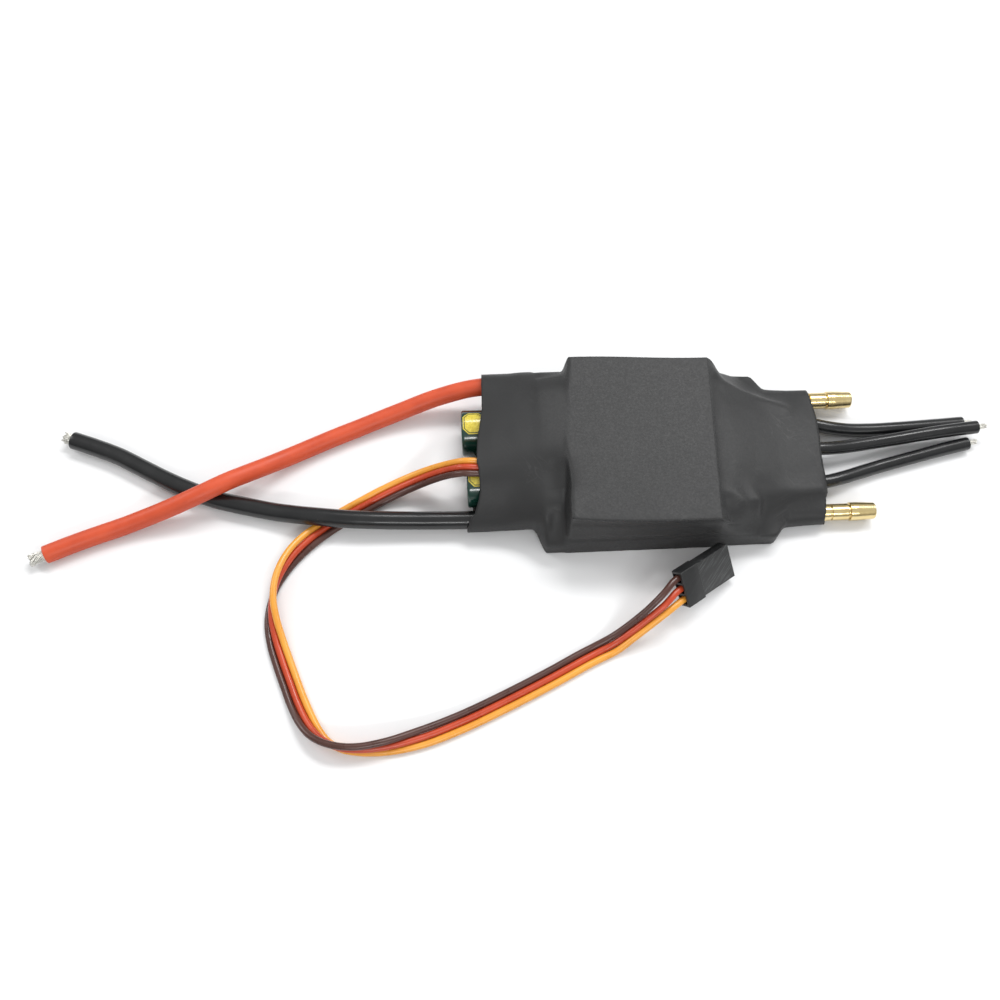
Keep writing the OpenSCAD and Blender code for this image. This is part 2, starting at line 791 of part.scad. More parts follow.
terminal_size = 1.8;
terminal_bore = 0.7;
module crimp_terminals() {
    box_length = plug_length - front_wall - wire_entry_depth;
    color([0.8, 0.7, 0.4])
        plug_frame()
            for (side = [-1, 0, 1])
                translate([wire_entry_depth, plug_width / 2 + side * pin_pitch, plug_thickness / 2])
                    difference() {
                        block(box_length / 2, 0, -terminal_size / 2, box_length, terminal_size,
                            terminal_size);
                        block(box_length, 0, -terminal_bore / 2, 12, terminal_bore, terminal_bore);
                    }
}

heat_shrink_sleeve();
cooling_plate();
channel_plug();
rear_water_nipple();
front_water_nipple();
nipple_seals();
lower_thermal_pad();
lower_transistors();
power_board();
upper_transistors();
current_shunt();
power_ceramic_capacitors();
board_header();
control_board();
microcontroller();
gate_drivers();
voltage_regulators();
signal_resistors();
upper_thermal_pad();
heat_spreader();
rear_capacitor_can();
front_capacitor_can();
rear_capacitor_sleeve();
front_capacitor_sleeve();
capacitor_bungs();
capacitor_leads();
red_battery_lead();
black_battery_lead();
red_lead_tip();
black_lead_tip();
rear_motor_lead();
middle_motor_lead();
front_motor_lead();
rear_motor_tip();
middle_motor_tip();
front_motor_tip();
lead_cores();
solder_joints();
yellow_servo_wire();
red_servo_wire();
brown_servo_wire();
servo_wire_cores();
plug_housing();
crimp_terminals();
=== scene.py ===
import math
import random
import bpy
import numpy as np
from mathutils import Matrix
from mathutils import Vector
from mathutils import noise


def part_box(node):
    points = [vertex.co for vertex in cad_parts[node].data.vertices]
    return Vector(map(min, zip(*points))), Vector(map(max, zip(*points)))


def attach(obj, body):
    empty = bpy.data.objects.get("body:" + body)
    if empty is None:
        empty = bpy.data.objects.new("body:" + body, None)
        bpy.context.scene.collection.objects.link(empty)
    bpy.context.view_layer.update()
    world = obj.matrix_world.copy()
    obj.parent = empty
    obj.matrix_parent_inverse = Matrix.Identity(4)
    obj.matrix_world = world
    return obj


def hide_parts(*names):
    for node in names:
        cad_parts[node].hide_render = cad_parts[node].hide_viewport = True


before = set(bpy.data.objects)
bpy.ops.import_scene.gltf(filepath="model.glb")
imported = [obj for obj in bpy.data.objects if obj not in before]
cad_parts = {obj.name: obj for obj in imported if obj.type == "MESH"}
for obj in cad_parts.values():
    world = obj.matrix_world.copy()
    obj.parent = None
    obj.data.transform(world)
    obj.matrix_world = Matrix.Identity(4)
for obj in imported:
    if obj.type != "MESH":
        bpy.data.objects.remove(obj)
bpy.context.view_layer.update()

random.seed(7)

MM = 0.001
BODY = "root"

# ---------------------------------------------------------------- routes, in millimetres of the CAD frame

RED_ROUTE = [
    (-22, 15.8, 8.85), (-24, 15.8, 8.85), (-28, 16.9, 8.7), (-32, 17.8, 8.2), (-38, 18.4, 7.2), (-47, 17.7, 4.9),
    (-56, 15.3, 3.1), (-67.5, 11.2, 2), (-73.5, 8.7, 2), (-79, 6.1, 2.3), (-84.5, 3.2, 3.2),
    (-90, 0.1, 4.7), (-94, -2.2, 5.8), (-97.5, -4.1, 6.1), (-101, -5.6, 5.7), (-106, -7.2, 4.4),
    (-111.5, -8.7, 3), (-117, -10.4, 2.2), (-122, -12, 2), (-128, -14.2, 2), (-133, -16.2, 2),
]
BLACK_ROUTE = [
    (-22, -12.4, 8.85), (-24, -12.4, 8.85), (-27.5, -12.7, 6.8), (-31, -12.8, 4.4), (-36, -12.7, 3.3),
    (-41, -12.6, 3), (-48, -12.4, 3), (-56.5, -12.1, 3.2), (-63, -11.8, 3.5), (-68, -11.4, 3.6),
    (-74, -10.6, 3.6), (-79, -9.6, 3), (-84, -8.4, 2.3), (-88, -7.3, 2), (-92.5, -6.1, 2), (-97.5, -4.6, 2),
    (-101.5, -2.9, 2), (-105.5, -1, 2), (-110, 1.4, 2), (-115, 4.3, 2), (-119.5, 6.9, 2),
    (-125, 9.4, 2), (-130.5, 11.6, 2),
]
REAR_MOTOR_ROUTE = [
    (17, 8.4, 8.6), (19, 8.4, 8.6), (22, 8.4, 8.3), (25, 8.3, 7.4), (29, 8.1, 6), (33.5, 7.9, 4.4), (38, 7.6, 3.1),
    (42, 7.1, 2.2), (46, 6.7, 1.7), (52, 6.5, 1.5), (60, 6.7, 1.5), (67, 7, 1.5), (73, 7.3, 1.5),
]
MIDDLE_MOTOR_ROUTE = [
    (17, 0.4, 8.6), (19, 0.4, 8.6), (22, 0.4, 8.3), (25, 0.5, 7.7), (29, 0.6, 6.6), (33.5, 0.8, 5.1), (38.5, 1, 3.9),
    (43, 1.4, 3.3), (47.5, 2, 3), (52, 2.6, 2.9), (57, 3.2, 3), (62, 3.8, 3.3), (68, 4.4, 3.6), (75, 5, 3.7),
]
FRONT_MOTOR_ROUTE = [
    (17, -7.6, 8.6), (19, -7.6, 8.6), (22, -7.6, 8.3), (25, -7.5, 7.4), (29, -7.4, 6), (33.5, -7.2, 4.4),
    (38, -6.9, 3.1), (42.5, -5.7, 2.2), (47, -4.3, 1.7), (51.5, -3, 1.5), (56, -1.9, 1.5), (61, -0.7, 1.5),
    (66, 0.5, 1.5), (73, 2, 1.5),
]
# Middle of the flat servo lead: x, y, clear height under its lowest wire, and roll in degrees
RIBBON_ROUTE = [
    (-19.4, -3.6, 11.3, 0), (-21, -3.6, 11.3, 0), (-25, -3.8, 11, 0), (-32, -4, 10.95, 0),
    (-39, -4.1, 10.95, 0), (-41.7, -3.9, 10.9, 0), (-44.4, -3.4, 9.3, 0), (-47.4, -2.9, 6.9, 0),
    (-50.5, -2.8, 4.7, 0),
    (-55, -3.4, 2.3, 0), (-60, -5, 0.8, 0), (-64.5, -7.1, 0.15, 0), (-69, -9.6, 0, 0),
    (-73, -12.2, 0, 4), (-76.5, -15.1, 0, 22), (-79.5, -18.5, 0, 45), (-81.6, -22, 0, 68),
    (-83, -25.5, 0, 90), (-83.6, -29, 0, 110), (-83.5, -33, 0, 136), (-82.5, -37.5, 0, 160),
    (-81, -42, 0, 174), (-79.3, -46.5, 0, 180), (-77.7, -50.5, 0, 186), (-76, -54, 0, 200),
    (-74, -57, 0, 224), (-71.5, -59.2, 0, 252), (-68.5, -60.5, 0, 270), (-65, -61, 0, 281),
    (-60.5, -60.8, 0, 298), (-53, -59.2, 0, 332), (-44.5, -56.3, 0, 352), (-36, -52.7, 0, 360),
    (-26, -48.1, 0, 360), (-16, -43.2, 0, 360),
]
YELLOW_TAIL = [(-11.5, -42.9, 0.9), (-7.9, -40.8, 2.6), (-3.6, -38.2, 4.6), (-0.3, -36.1, 5.8)]
RED_TAIL = [(-11.9, -41.4, 1.3), (-8.2, -39.5, 3.4), (-4.4, -37.2, 5.5), (-1.1, -35, 7.1)]
BROWN_TAIL = [(-12.4, -40.1, 2), (-8.6, -38.2, 4.3), (-5, -36, 6.7), (-1.6, -33.3, 8.8)]

BATTERY_RADIUS = 2.0
MOTOR_RADIUS = 1.5
SERVO_RADIUS = 0.72
SERVO_PITCH = 1.5
BATTERY_CORE = 1.2
MOTOR_CORE = 0.85
TIP_LENGTH = 2.4

PLUG_ORIGIN = (2.5, -34.1, 3.55)
PLUG_TURN = (43.5, 14, 33.5)
PLUG_SIZE = (14.2, 7.7, 2.6)
PIN_PITCH = 2.54


# ---------------------------------------------------------------- vectors and paths

def unit(vector):
    return vector / np.linalg.norm(vector)


def travel(points, i):
    return unit(points[min(i + 1, len(points) - 1)] - points[max(i - 1, 0)])


def right_of(points, i):
    return unit(np.cross(travel(points, i), (0, 0, 1)))


def smooth_path(points, spacing):
    """A smooth curve through the points, sampled about every spacing."""
    points = np.array(points, float)
    steps = np.linalg.norm(np.diff(points, axis=0), axis=1)
    slopes = np.diff(points, axis=0) / steps[:, None]
    tangents = np.empty_like(points)
    tangents[0] = slopes[0]
    tangents[-1] = slopes[-1]
    weight = steps[1:] / (steps[1:] + steps[:-1])
    tangents[1:-1] = slopes[:-1] * weight[:, None] + slopes[1:] * (1 - weight)[:, None]
    path = [points[0]]
    for i, step in enumerate(steps):
        count = max(2, math.ceil(step / spacing))
        for k in range(1, count + 1):
            t = k / count
            a = (1 + 2 * t) * (1 - t) ** 2
            b = t * (1 - t) ** 2 * step
            c = t * t * (3 - 2 * t)
            d = t * t * (t - 1) * step
            path.append(a * points[i] + b * tangents[i] + c * points[i + 1] + d * tangents[i + 1])
    return np.array(path)


def rest_on_floor(path, radius):
    """Lifts any part of a centre line that would take a cord of this radius below the floor."""
    path[:, 2] = np.maximum(path[:, 2], radius)
    return path


def frames_along(path):
    """Direction and two cross vectors at each point, turned as little as possible."""
    count = len(path)
    direction = np.array([travel(path, i) for i in range(count)])
    first = right_of(path, 0)
    side = [first]
    for i in range(1, count):
        flat = side[-1] - direction[i] * np.dot(side[-1], direction[i])
        side.append(unit(flat))
    side = np.array(side)
    return direction, side, np.cross(side, direction)


def plug_matrix():
    turn = [math.radians(a) for a in PLUG_TURN]
    return (Matrix.Translation(PLUG_ORIGIN) @ Matrix.Rotation(turn[2], 4, "Z")
            @ Matrix.Rotation(turn[1], 4, "Y") @ Matrix.Rotation(turn[0], 4, "X"))


def plug_entry(side, depth):
    local = Vector((depth, PLUG_SIZE[1] / 2 - side * PIN_PITCH, PLUG_SIZE[2] / 2))
    return tuple(plug_matrix() @ local)


def servo_route(side, tail):
    """One servo wire: side is 1 for yellow, 0 for red and -1 for brown."""
    level = np.array([(p[0], p[1], 0.0) for p in RIBBON_ROUTE])
    route = []
    for i, (x, y, z, roll_degrees) in enumerate(RIBBON_ROUTE):
        roll = math.radians(roll_degrees)
        middle = np.array((x, y, z + SERVO_RADIUS + SERVO_PITCH * abs(math.sin(roll))))
        across = math.cos(roll) * right_of(level, i) + math.sin(roll) * np.array((0, 0, 1))
        route.append(middle + side * SERVO_PITCH * across)
    return route + list(tail) + [plug_entry(side, -0.8), plug_entry(side, 2.4)]


# ---------------------------------------------------------------- meshes

def add_piece(name, points, faces, material, slot, smooth=True):
    """A mesh piece from points in millimetres, riding on the body."""
    mesh = bpy.data.meshes.new(name)
    mesh.from_pydata([tuple(float(c) * MM for c in p) for p in points], [], faces)
    mesh.validate()
    mesh.update()
    if smooth:
        mesh.shade_smooth()
    mesh.materials.append(material)
    piece = bpy.data.objects.new(name, mesh)
    bpy.context.scene.collection.objects.link(piece)
    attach(piece, BODY)
    return piece


def ring_faces(first, second, sides):
    return [(first + k, first + (k + 1) % sides, second + (k + 1) % sides, second + k) for k in range(sides)]


def tube_mesh(path, radii, sides, start_profile=(), end_profile=()):
    """A round tube along the path. Profiles are extra end rings: (distance outwards, share of radius)."""
    direction, side, up = frames_along(path)
    rings = []
    for depth, share in reversed(start_profile):
        rings.append((path[0] - direction[0] * depth, radii[0] * share, side[0], up[0]))
    for i, centre in enumerate(path):
        rings.append((centre, radii[i], side[i], up[i]))
    for depth, share in end_profile:
        rings.append((path[-1] + direction[-1] * depth, radii[-1] * share, side[-1], up[-1]))
    points = []
    for centre, radius, across, above in rings:
        for k in range(sides):
            angle = 2 * math.pi * k / sides
            points.append(centre + radius * (math.cos(angle) * across + math.sin(angle) * above))
    faces = []
    for i in range(len(rings) - 1):
        faces += ring_faces(i * sides, (i + 1) * sides, sides)
    faces.append(tuple(reversed(range(sides))))
    last = (len(rings) - 1) * sides
    faces.append(tuple(last + k for k in range(sides)))
    return points, faces


def join_meshes(parts):
    points = []
    faces = []
    for part_points, part_faces in parts:
        base = len(points)
        points += list(part_points)
        faces += [tuple(base + v for v in face) for face in part_faces]
    return points, faces


def lathe(profile, origin, sides=96):
    """Turned shape about an X axis through origin. Profile: closed loop of (radius, x), outside first."""
    points = []
    rows = []
    for radius, x in profile:
        rows.append(len(points))
        for k in range(sides):
            angle = 2 * math.pi * k / sides
            points.append((origin[0] + x, origin[1] + radius * math.cos(angle), origin[2] + radius * math.sin(angle)))
    faces = []
    for i in range(len(rows)):
        faces += ring_faces(rows[i], rows[(i + 1) % len(rows)], sides)
    return points, faces


# ---------------------------------------------------------------- material helpers

class Nodes:
    """A material with a principled shader, and short names for the nodes it uses."""

    def __init__(self, name):
        self.material = bpy.data.materials.new(name)
        self.material.use_nodes = True
        self.tree = self.material.node_tree
        self.shader = self.tree.nodes["Principled BSDF"]
        self.place = self.node("ShaderNodeTexCoord").outputs["Object"]

    def node(self, kind, **values):
        made = self.tree.nodes.new(kind)
        for key, value in values.items():
            setattr(made, key, value)
        return made

    def link(self, output, target):
        self.tree.links.new(output, target)

    def set(self, **values):
        for key, value in values.items():
            self.shader.inputs[key.replace("_", " ")].default_value = value

    def mapped(self, scale=(1, 1, 1), location=(0, 0, 0), rotation=(0, 0, 0), vector=None):
        """Coordinates from a new zero point, along turned axes, and then stretched."""
        mapping = self.node("ShaderNodeMapping", vector_type="TEXTURE")
        mapping.inputs["Scale"].default_value = [1 / s for s in scale]
        mapping.inputs["Location"].default_value = location
        mapping.inputs["Rotation"].default_value = rotation
        self.link(vector or self.place, mapping.inputs["Vector"])
        return mapping.outputs["Vector"]

    def noise(self, scale, detail=3.0, rough=0.5, vector=None, distortion=0.0):
        made = self.node("ShaderNodeTexNoise")
        made.inputs["Scale"].default_value = scale
        made.inputs["Detail"].default_value = detail
        made.inputs["Roughness"].default_value = rough
        made.inputs["Distortion"].default_value = distortion
        self.link(vector or self.place, made.inputs["Vector"])
        return made.outputs["Fac"]

    def ramp(self, value, stops):
        made = self.node("ShaderNodeValToRGB")
        elements = made.color_ramp.elements
        elements[0].position, elements[0].color = stops[0][0], shade(stops[0][1])
        elements[1].position, elements[1].color = stops[-1][0], shade(stops[-1][1])
        for position, colour in stops[1:-1]:
            element = elements.new(position)
            element.color = shade(colour)
        self.link(value, made.inputs["Fac"])
        return made.outputs["Color"]

    def range(self, value, low, high, start=0.0, end=1.0):
        made = self.node("ShaderNodeMapRange")
        made.inputs["From Min"].default_value = start
        made.inputs["From Max"].default_value = end
        made.inputs["To Min"].default_value = low
        made.inputs["To Max"].default_value = high
        self.link(value, made.inputs["Value"])
        return made.outputs["Result"]

    def math(self, operation, a, b=None):
        made = self.node("ShaderNodeMath", operation=operation)
        for i, value in enumerate((a, b)):
            if value is None:
                continue
            if isinstance(value, (int, float)):
                made.inputs[i].default_value = value
            else:
                self.link(value, made.inputs[i])
        return made.outputs["Value"]

    def mix(self, factor, a, b):
        made = self.node("ShaderNodeMix", data_type="RGBA")
        self.link(factor, made.inputs["Factor"])
        for value, socket in ((a, made.inputs["A"]), (b, made.inputs["B"])):
            if isinstance(value, tuple):
                socket.default_value = shade(value)
            else:
                self.link(value, socket)
        return made.outputs["Result"]

    def bump(self, height, strength, distance, before=None):
        made = self.node("ShaderNodeBump")
        made.inputs["Strength"].default_value = strength
        made.inputs["Distance"].default_value = distance
        self.link(height, made.inputs["Height"])
        if before is not None:
            self.link(before, made.inputs["Normal"])
        return made.outputs["Normal"]

    def colour(self, output):
        self.link(output, self.shader.inputs["Base Color"])

    def roughness(self, output):
        self.link(output, self.shader.inputs["Roughness"])

    def normal(self, output):
        self.link(output, self.shader.inputs["Normal"])


def shade(colour):
    if isinstance(colour, (int, float)):
        return (colour, colour, colour, 1.0)
    return (*colour, 1.0)


def plain_finish(name, dark, light, scale, rough, bump=0.2, metal=0.0, stretch=(1, 1, 1)):
    """Uneven colour, gloss and grain for a simple material."""
    n = Nodes(name)
    vector = n.mapped(scale=stretch)
    coarse = n.noise(scale, 4.0, 0.6, vector)
    fine = n.noise(scale * 9, 2.0, 0.5, vector)
    n.colour(n.ramp(coarse, [(0.3, dark), (0.7, light)]))
    n.roughness(n.range(coarse, rough[0], rough[1], 0.3, 0.7))
    n.normal(n.bump(fine, bump, 0.00003))
    n.set(Metallic=metal)
    return n.material


def scratches(n, scale, turn, width=0.03):
    """Fine straight scratches, 1 on a scratch and 0 off it."""
    vector = n.mapped(scale=(scale * 0.05, scale, scale), rotation=(0, 0, turn))
    line = n.noise(1.0, 2.0, 0.4, vector, 0.3)
    band = n.math("ABSOLUTE", n.math("SUBTRACT", line, 0.5))
    thin = n.range(band, 1.0, 0.0, 0.0, width)
    patch = n.noise(scale * 0.12, 1.0)
    keep = n.range(patch, 0.0, 1.0, 0.56, 0.62)
    return n.math("MULTIPLY", n.math("MAXIMUM", thin, 0.0), keep)


def dust(n, scale, amount):
    """Small pale specks, 1 on a speck and 0 off it."""
    cells = n.node("ShaderNodeTexVoronoi")
    cells.inputs["Scale"].default_value = scale
    n.link(n.place, cells.inputs["Vector"])
    size = n.noise(scale * 0.31, 1.0)
    limit = n.range(size, 0.0, 0.16, 1.0 - amount, 1.0)
    return n.math("LESS_THAN", cells.outputs["Distance"], limit)


def film_material():
    n = Nodes("film_charcoal")
    broad = n.noise(60.0, 4.0, 0.55)
    fine = n.noise(2600.0, 3.0, 0.6)
    marks = n.math("MAXIMUM", scratches(n, 900.0, 0.5), scratches(n, 700.0, -0.9))
    faint = n.math("MULTIPLY", marks, n.range(broad, 0.0, 0.5, 0.45, 0.7))
    base = n.ramp(broad, [(0.3, (0.0172, 0.0175, 0.0179)), (0.7, (0.0206, 0.0209, 0.0213))])
    scuffed = n.mix(faint, base, (0.05, 0.05, 0.05))
    n.colour(n.mix(dust(n, 900.0, 0.35), scuffed, (0.1, 0.1, 0.1)))
    n.roughness(n.range(fine, 0.46, 0.58, 0.3, 0.7))
    grain = n.bump(fine, 0.25, 0.00002)
    n.normal(n.bump(faint, 0.2, 0.00002, grain))
    n.set(Specular_IOR_Level=0.36)
    return n.material


def silicone_material(name, dark, light, rough, dust_colour):
    n = Nodes(name)
    broad = n.noise(180.0, 4.0, 0.6)
    fine = n.noise(3200.0, 2.0, 0.5)
    base = n.ramp(broad, [(0.3, dark), (0.7, light)])
    n.colour(n.mix(dust(n, 1300.0, 0.45), base, dust_colour))
    n.roughness(n.range(broad, rough[0], rough[1], 0.3, 0.7))
    n.normal(n.bump(fine, 0.15, 0.00002))
    return n.material


def brass_material():
    n = Nodes("brass_turned")
    rings = n.noise(1.0, 2.0, 0.6, n.mapped(scale=(7000, 30, 30)))
    broad = n.noise(400.0, 3.0, 0.5)
    n.colour(n.ramp(broad, [(0.3, (0.74, 0.58, 0.27)), (0.7, (0.8, 0.65, 0.35))]))
    n.roughness(n.range(rings, 0.17, 0.25, 0.35, 0.65))
    n.normal(n.bump(rings, 0.05, 0.00001))
    n.set(Metallic=1.0)
    return n.material


def tinned_material():
    n = Nodes("tinned_strand")
    broad = n.noise(1500.0, 3.0, 0.6)
    n.colour(n.ramp(broad, [(0.3, (0.5, 0.49, 0.45)), (0.7, (0.8, 0.79, 0.74))]))
    n.roughness(n.range(broad, 0.28, 0.45, 0.3, 0.7))
    n.normal(n.bump(broad, 0.3, 0.00003))
    n.set(Metallic=1.0)
    return n.material


# ---------------------------------------------------------------- camera, floor and light

def add_camera():
    """The camera's place and turn come from the photographed leads, body and plug in the CAD frame."""
    heading = Vector((0.0503, 0.9987, 0)).normalized()
    pitch = math.radians(65.42)
    roll = math.radians(0.281)
    forward = heading * math.cos(pitch) - Vector((0, 0, math.sin(pitch)))
    level = forward.cross(Vector((0, 0, 1))).normalized()
    top = level.cross(forward)
    right = level * math.cos(roll) + top * math.sin(roll)
    up = right.cross(forward)
    data = bpy.data.cameras.new("camera")
    data.sensor_width = 36
    data.lens = 36
    data.clip_start = 0.01
    camera = bpy.data.objects.new("camera", data)
    turn = Matrix((right, up, -forward)).transposed().to_4x4()
    camera.matrix_world = Matrix.Translation(Vector((-38.89, -99.85, 203.88)) * MM) @ turn
    bpy.context.scene.collection.objects.link(camera)
    bpy.context.scene.camera = camera


def add_area(name, place, aim, size, power, colour=(1, 1, 1)):
    data = bpy.data.lights.new(name, "AREA")
    data.shape = "RECTANGLE"
    data.size = size[0]
    data.size_y = size[1]
    data.energy = power
    data.color = colour
    light = bpy.data.objects.new(name, data)
    light.location = place
    light.rotation_euler = (Vector(aim) - Vector(place)).to_track_quat("-Z", "Y").to_euler()
    bpy.context.scene.collection.objects.link(light)


def add_stage():
    n = Nodes("floor_white")
    n.colour(n.ramp(n.noise(40.0, 3.0), [(0.3, (0.795, 0.8, 0.805)), (0.7, (0.81, 0.815, 0.82))]))
    n.set(Roughness=0.75)
    mesh = bpy.data.meshes.new("floor")
    half = 12.0
    mesh.from_pydata([(-half, -half, 0), (half, -half, 0), (half, half, 0), (-half, half, 0)], [], [(0, 1, 2, 3)])
    mesh.materials.append(n.material)
    floor = bpy.data.objects.new("floor", mesh)
    bpy.context.scene.collection.objects.link(floor)
    add_world()
    add_area("key", (0.16, 0.4, 0.68), (-0.02, -0.01, 0), (0.45, 0.16), 3.5)
    add_area("right", (0.62, 0.32, 0.5), (-0.02, -0.01, 0), (0.3, 0.2), 1.95)
    add_area("left", (-0.66, 0.32, 0.5), (-0.02, -0.01, 0), (0.3, 0.2), 1.65)
    add_area("front", (0.08, -0.62, 0.5), (-0.02, -0.01, 0), (0.45, 0.08), 1.95)
    bpy.context.scene.view_settings.view_transform = "Standard"


def add_world():
    """A pale studio that darkens towards the horizon, so that metal has something to reflect."""
    world = bpy.data.worlds.new("studio")
    world.use_nodes = True
    tree = world.node_tree
    place = tree.nodes.new("ShaderNodeTexCoord")
    parts = tree.nodes.new("ShaderNodeSeparateXYZ")
    ramp = tree.nodes.new("ShaderNodeValToRGB")
    background = tree.nodes["Background"]
    tree.links.new(place.outputs["Generated"], parts.inputs["Vector"])
    tree.links.new(parts.outputs["Z"], ramp.inputs["Fac"])
    tree.links.new(ramp.outputs["Color"], background.inputs["Color"])
    ramp.color_ramp.elements[0].position = 0.0
    ramp.color_ramp.elements[0].color = shade(0.3)
    ramp.color_ramp.elements[1].position = 0.75
    ramp.color_ramp.elements[1].color = shade(1.0)
    background.inputs["Strength"].default_value = 0.7
    bpy.context.scene.world = world


# ---------------------------------------------------------------- cords

def lead(name, route, radius, spacing, sides, material, slot):
    """An insulated lead: its mesh and its centre line. The insulation ends in a cut face round the core."""
    path = rest_on_floor(smooth_path(route, spacing), radius * 1.012)
    radii = []
    for p in path:
        unevenness = noise.noise(Vector(p) * 0.35) + 0.5 * noise.noise(Vector(p) * 1.1)
        radii.append(radius * (1 + 0.008 * unevenness))
    round_end = [(0.08, 0.99), (0.13, 0.95), (0.14, 0.6), (0.02, 0.54)]
    points, faces = tube_mesh(path, radii, sides, [(0.08, 0.96)], round_end)
    piece = add_piece(name, points, faces, material, slot)
    return piece, path


def strand_mesh(path, radius, sides=7):
    radii = [radius] * len(path)
    radii[-1] = radius * 0.72
    return tube_mesh(np.array(path), radii, sides, [(0.01, 0.6)], [(radius * 0.35, 0.3)])


def strand_tip(name, path, core, strand, length, twist, pinch, splay, material):
    """Bare tinned strands that carry on from the end of a lead, laid in rings and twisted."""
    direction = unit(path[-1] - path[-3])
    across = unit(np.cross(direction, (0, 0, 1)))
    above = np.cross(across, direction)
    places = [(0.0, 0.0)]
    ring = 1
    while (2 * ring + 1) * strand <= core * 1.06:
        for k in range(6 * ring):
            places.append((2 * ring * strand, 2 * math.pi * k / (6 * ring) + 0.3 * ring))
        ring += 1
    parts = []
    for radius, angle in places:
        reach = length * random.uniform(0.86, 1.0)
        loose = splay * random.uniform(-0.3, 1.0)
        drift = random.uniform(-0.25, 0.25)
        line = []
        for k in range(10):
            s = -0.7 + (reach + 0.7) * k / 9
            share = max(0.0, s) / length
            out = radius * (1 - pinch * share) + loose * share ** 2
            turn = angle + twist * s + drift * share
            line.append(path[-1] + direction * s + out * (math.cos(turn) * across + math.sin(turn) * above))
        parts.append(strand_mesh(line, strand))
    points, faces = join_meshes(parts)
    return add_piece(name, points, faces, material, "tinned_metal")


def add_power_leads(black, red, tinned):
    """Battery and motor leads, each with its bare tip."""
    battery = [
        ("red_lead", RED_ROUTE, red, "red_silicone", "red_battery_lead", "red_lead_tip", (-38, 18.4, 7.2), 3.7),
        ("black_lead", BLACK_ROUTE, black, "black_silicone", "black_battery_lead", "black_lead_tip",
         (-41, -12.6, 3), 2.4),
    ]
    motor = [
        ("rear_motor_lead_smooth", REAR_MOTOR_ROUTE, "rear_motor_lead", "rear_motor_tip", (38, 7.6, 3.1)),
        ("middle_motor_lead_smooth", MIDDLE_MOTOR_ROUTE, "middle_motor_lead", "middle_motor_tip",
         (38.5, 1, 3.9)),
        ("front_motor_lead_smooth", FRONT_MOTOR_ROUTE, "front_motor_lead", "front_motor_tip",
         (38, -6.9, 3.1)),
    ]
    for name, route, material, slot, node, tip_node, start, reach in battery:
        piece, path = lead(name, route, BATTERY_RADIUS, 1.0, 32, material, slot)
        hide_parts(node)
        tip = strand_tip(name + "_strands", path, BATTERY_CORE, 0.165, reach, 0.5, -0.12, 0.25, tinned)
        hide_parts(tip_node)
    for name, route, node, tip_node, start in motor:
        piece, path = lead(name, route, MOTOR_RADIUS, 0.9, 28, black, "black_silicone")
        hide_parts(node)
        tip = strand_tip(name + "_strands", path, MOTOR_CORE, 0.135, TIP_LENGTH, 0.9, 0.12, 0.1, tinned)
        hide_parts(tip_node)


def metres(point):
    return tuple(float(c) * MM for c in point)


def add_servo_lead(yellow, red, brown):
    wires = [
        ("yellow_wire", 1, YELLOW_TAIL, yellow, "yellow_vinyl", "yellow_servo_wire"),
        ("red_wire", 0, RED_TAIL, red, "red_vinyl", "red_servo_wire"),
        ("brown_wire", -1, BROWN_TAIL, brown, "brown_vinyl", "brown_servo_wire"),
    ]
    for name, side, tail, material, slot, node in wires:
        route = servo_route(side, tail)
        path = rest_on_floor(smooth_path(route, 0.8), SERVO_RADIUS * 1.025)
        radii = [SERVO_RADIUS * 1.015 * (1 + 0.01 * noise.noise(Vector(p) * 0.8)) for p in path]
        points, faces = tube_mesh(path, radii, 18)
        piece = add_piece(name, points, faces, material, slot)
        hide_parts(node)


# ---------------------------------------------------------------- servo plug

def box_mesh(low, high):
    x0, y0, z0 = low
    x1, y1, z1 = high
    points = [(x0, y0, z0), (x1, y0, z0), (x1, y1, z0), (x0, y1, z0), (x0, y0, z1), (x1, y0, z1), (x1, y1, z1),
              (x0, y1, z1)]
    faces = [(0, 3, 2, 1), (4, 5, 6, 7), (0, 1, 5, 4), (1, 2, 6, 5), (2, 3, 7, 6), (3, 0, 4, 7)]
    return points, faces


def scratch_object(points, faces):
    """A helper mesh for a boolean cut, removed afterwards."""
    mesh = bpy.data.meshes.new("cutter")
    mesh.from_pydata([metres(p) for p in points], [], faces)
    cutter = bpy.data.objects.new("cutter", mesh)
    bpy.context.scene.collection.objects.link(cutter)
    return cutter


def apply_modifiers(piece):
    bpy.context.view_layer.update()
    evaluated = piece.evaluated_get(bpy.context.evaluated_depsgraph_get())
    baked = bpy.data.meshes.new_from_object(evaluated)
    piece.modifiers.clear()
    old = piece.data
    piece.data = baked
    bpy.data.meshes.remove(old)
    baked.name = piece.name


def cut(piece, boxes):
    """Cuts the boxes out of the piece, one after the other."""
    for low, high in boxes:
        cutter = scratch_object(*box_mesh(low, high))
        modifier = piece.modifiers.new("cut", "BOOLEAN")
        modifier.operation = "DIFFERENCE"
        modifier.solver = "EXACT"
        modifier.object = cutter
        apply_modifiers(piece)
        bpy.data.objects.remove(cutter)


def bevel(piece, width, segments=2, angle=30):
    modifier = piece.modifiers.new("bevel", "BEVEL")
    modifier.width = width * MM
    modifier.segments = segments
    modifier.limit_method = "ANGLE"
    modifier.angle_limit = math.radians(angle)
    modifier.harden_normals = False
    apply_modifiers(piece)
    piece.data.shade_smooth()
    piece.data.set_sharp_from_angle(angle=math.radians(40))


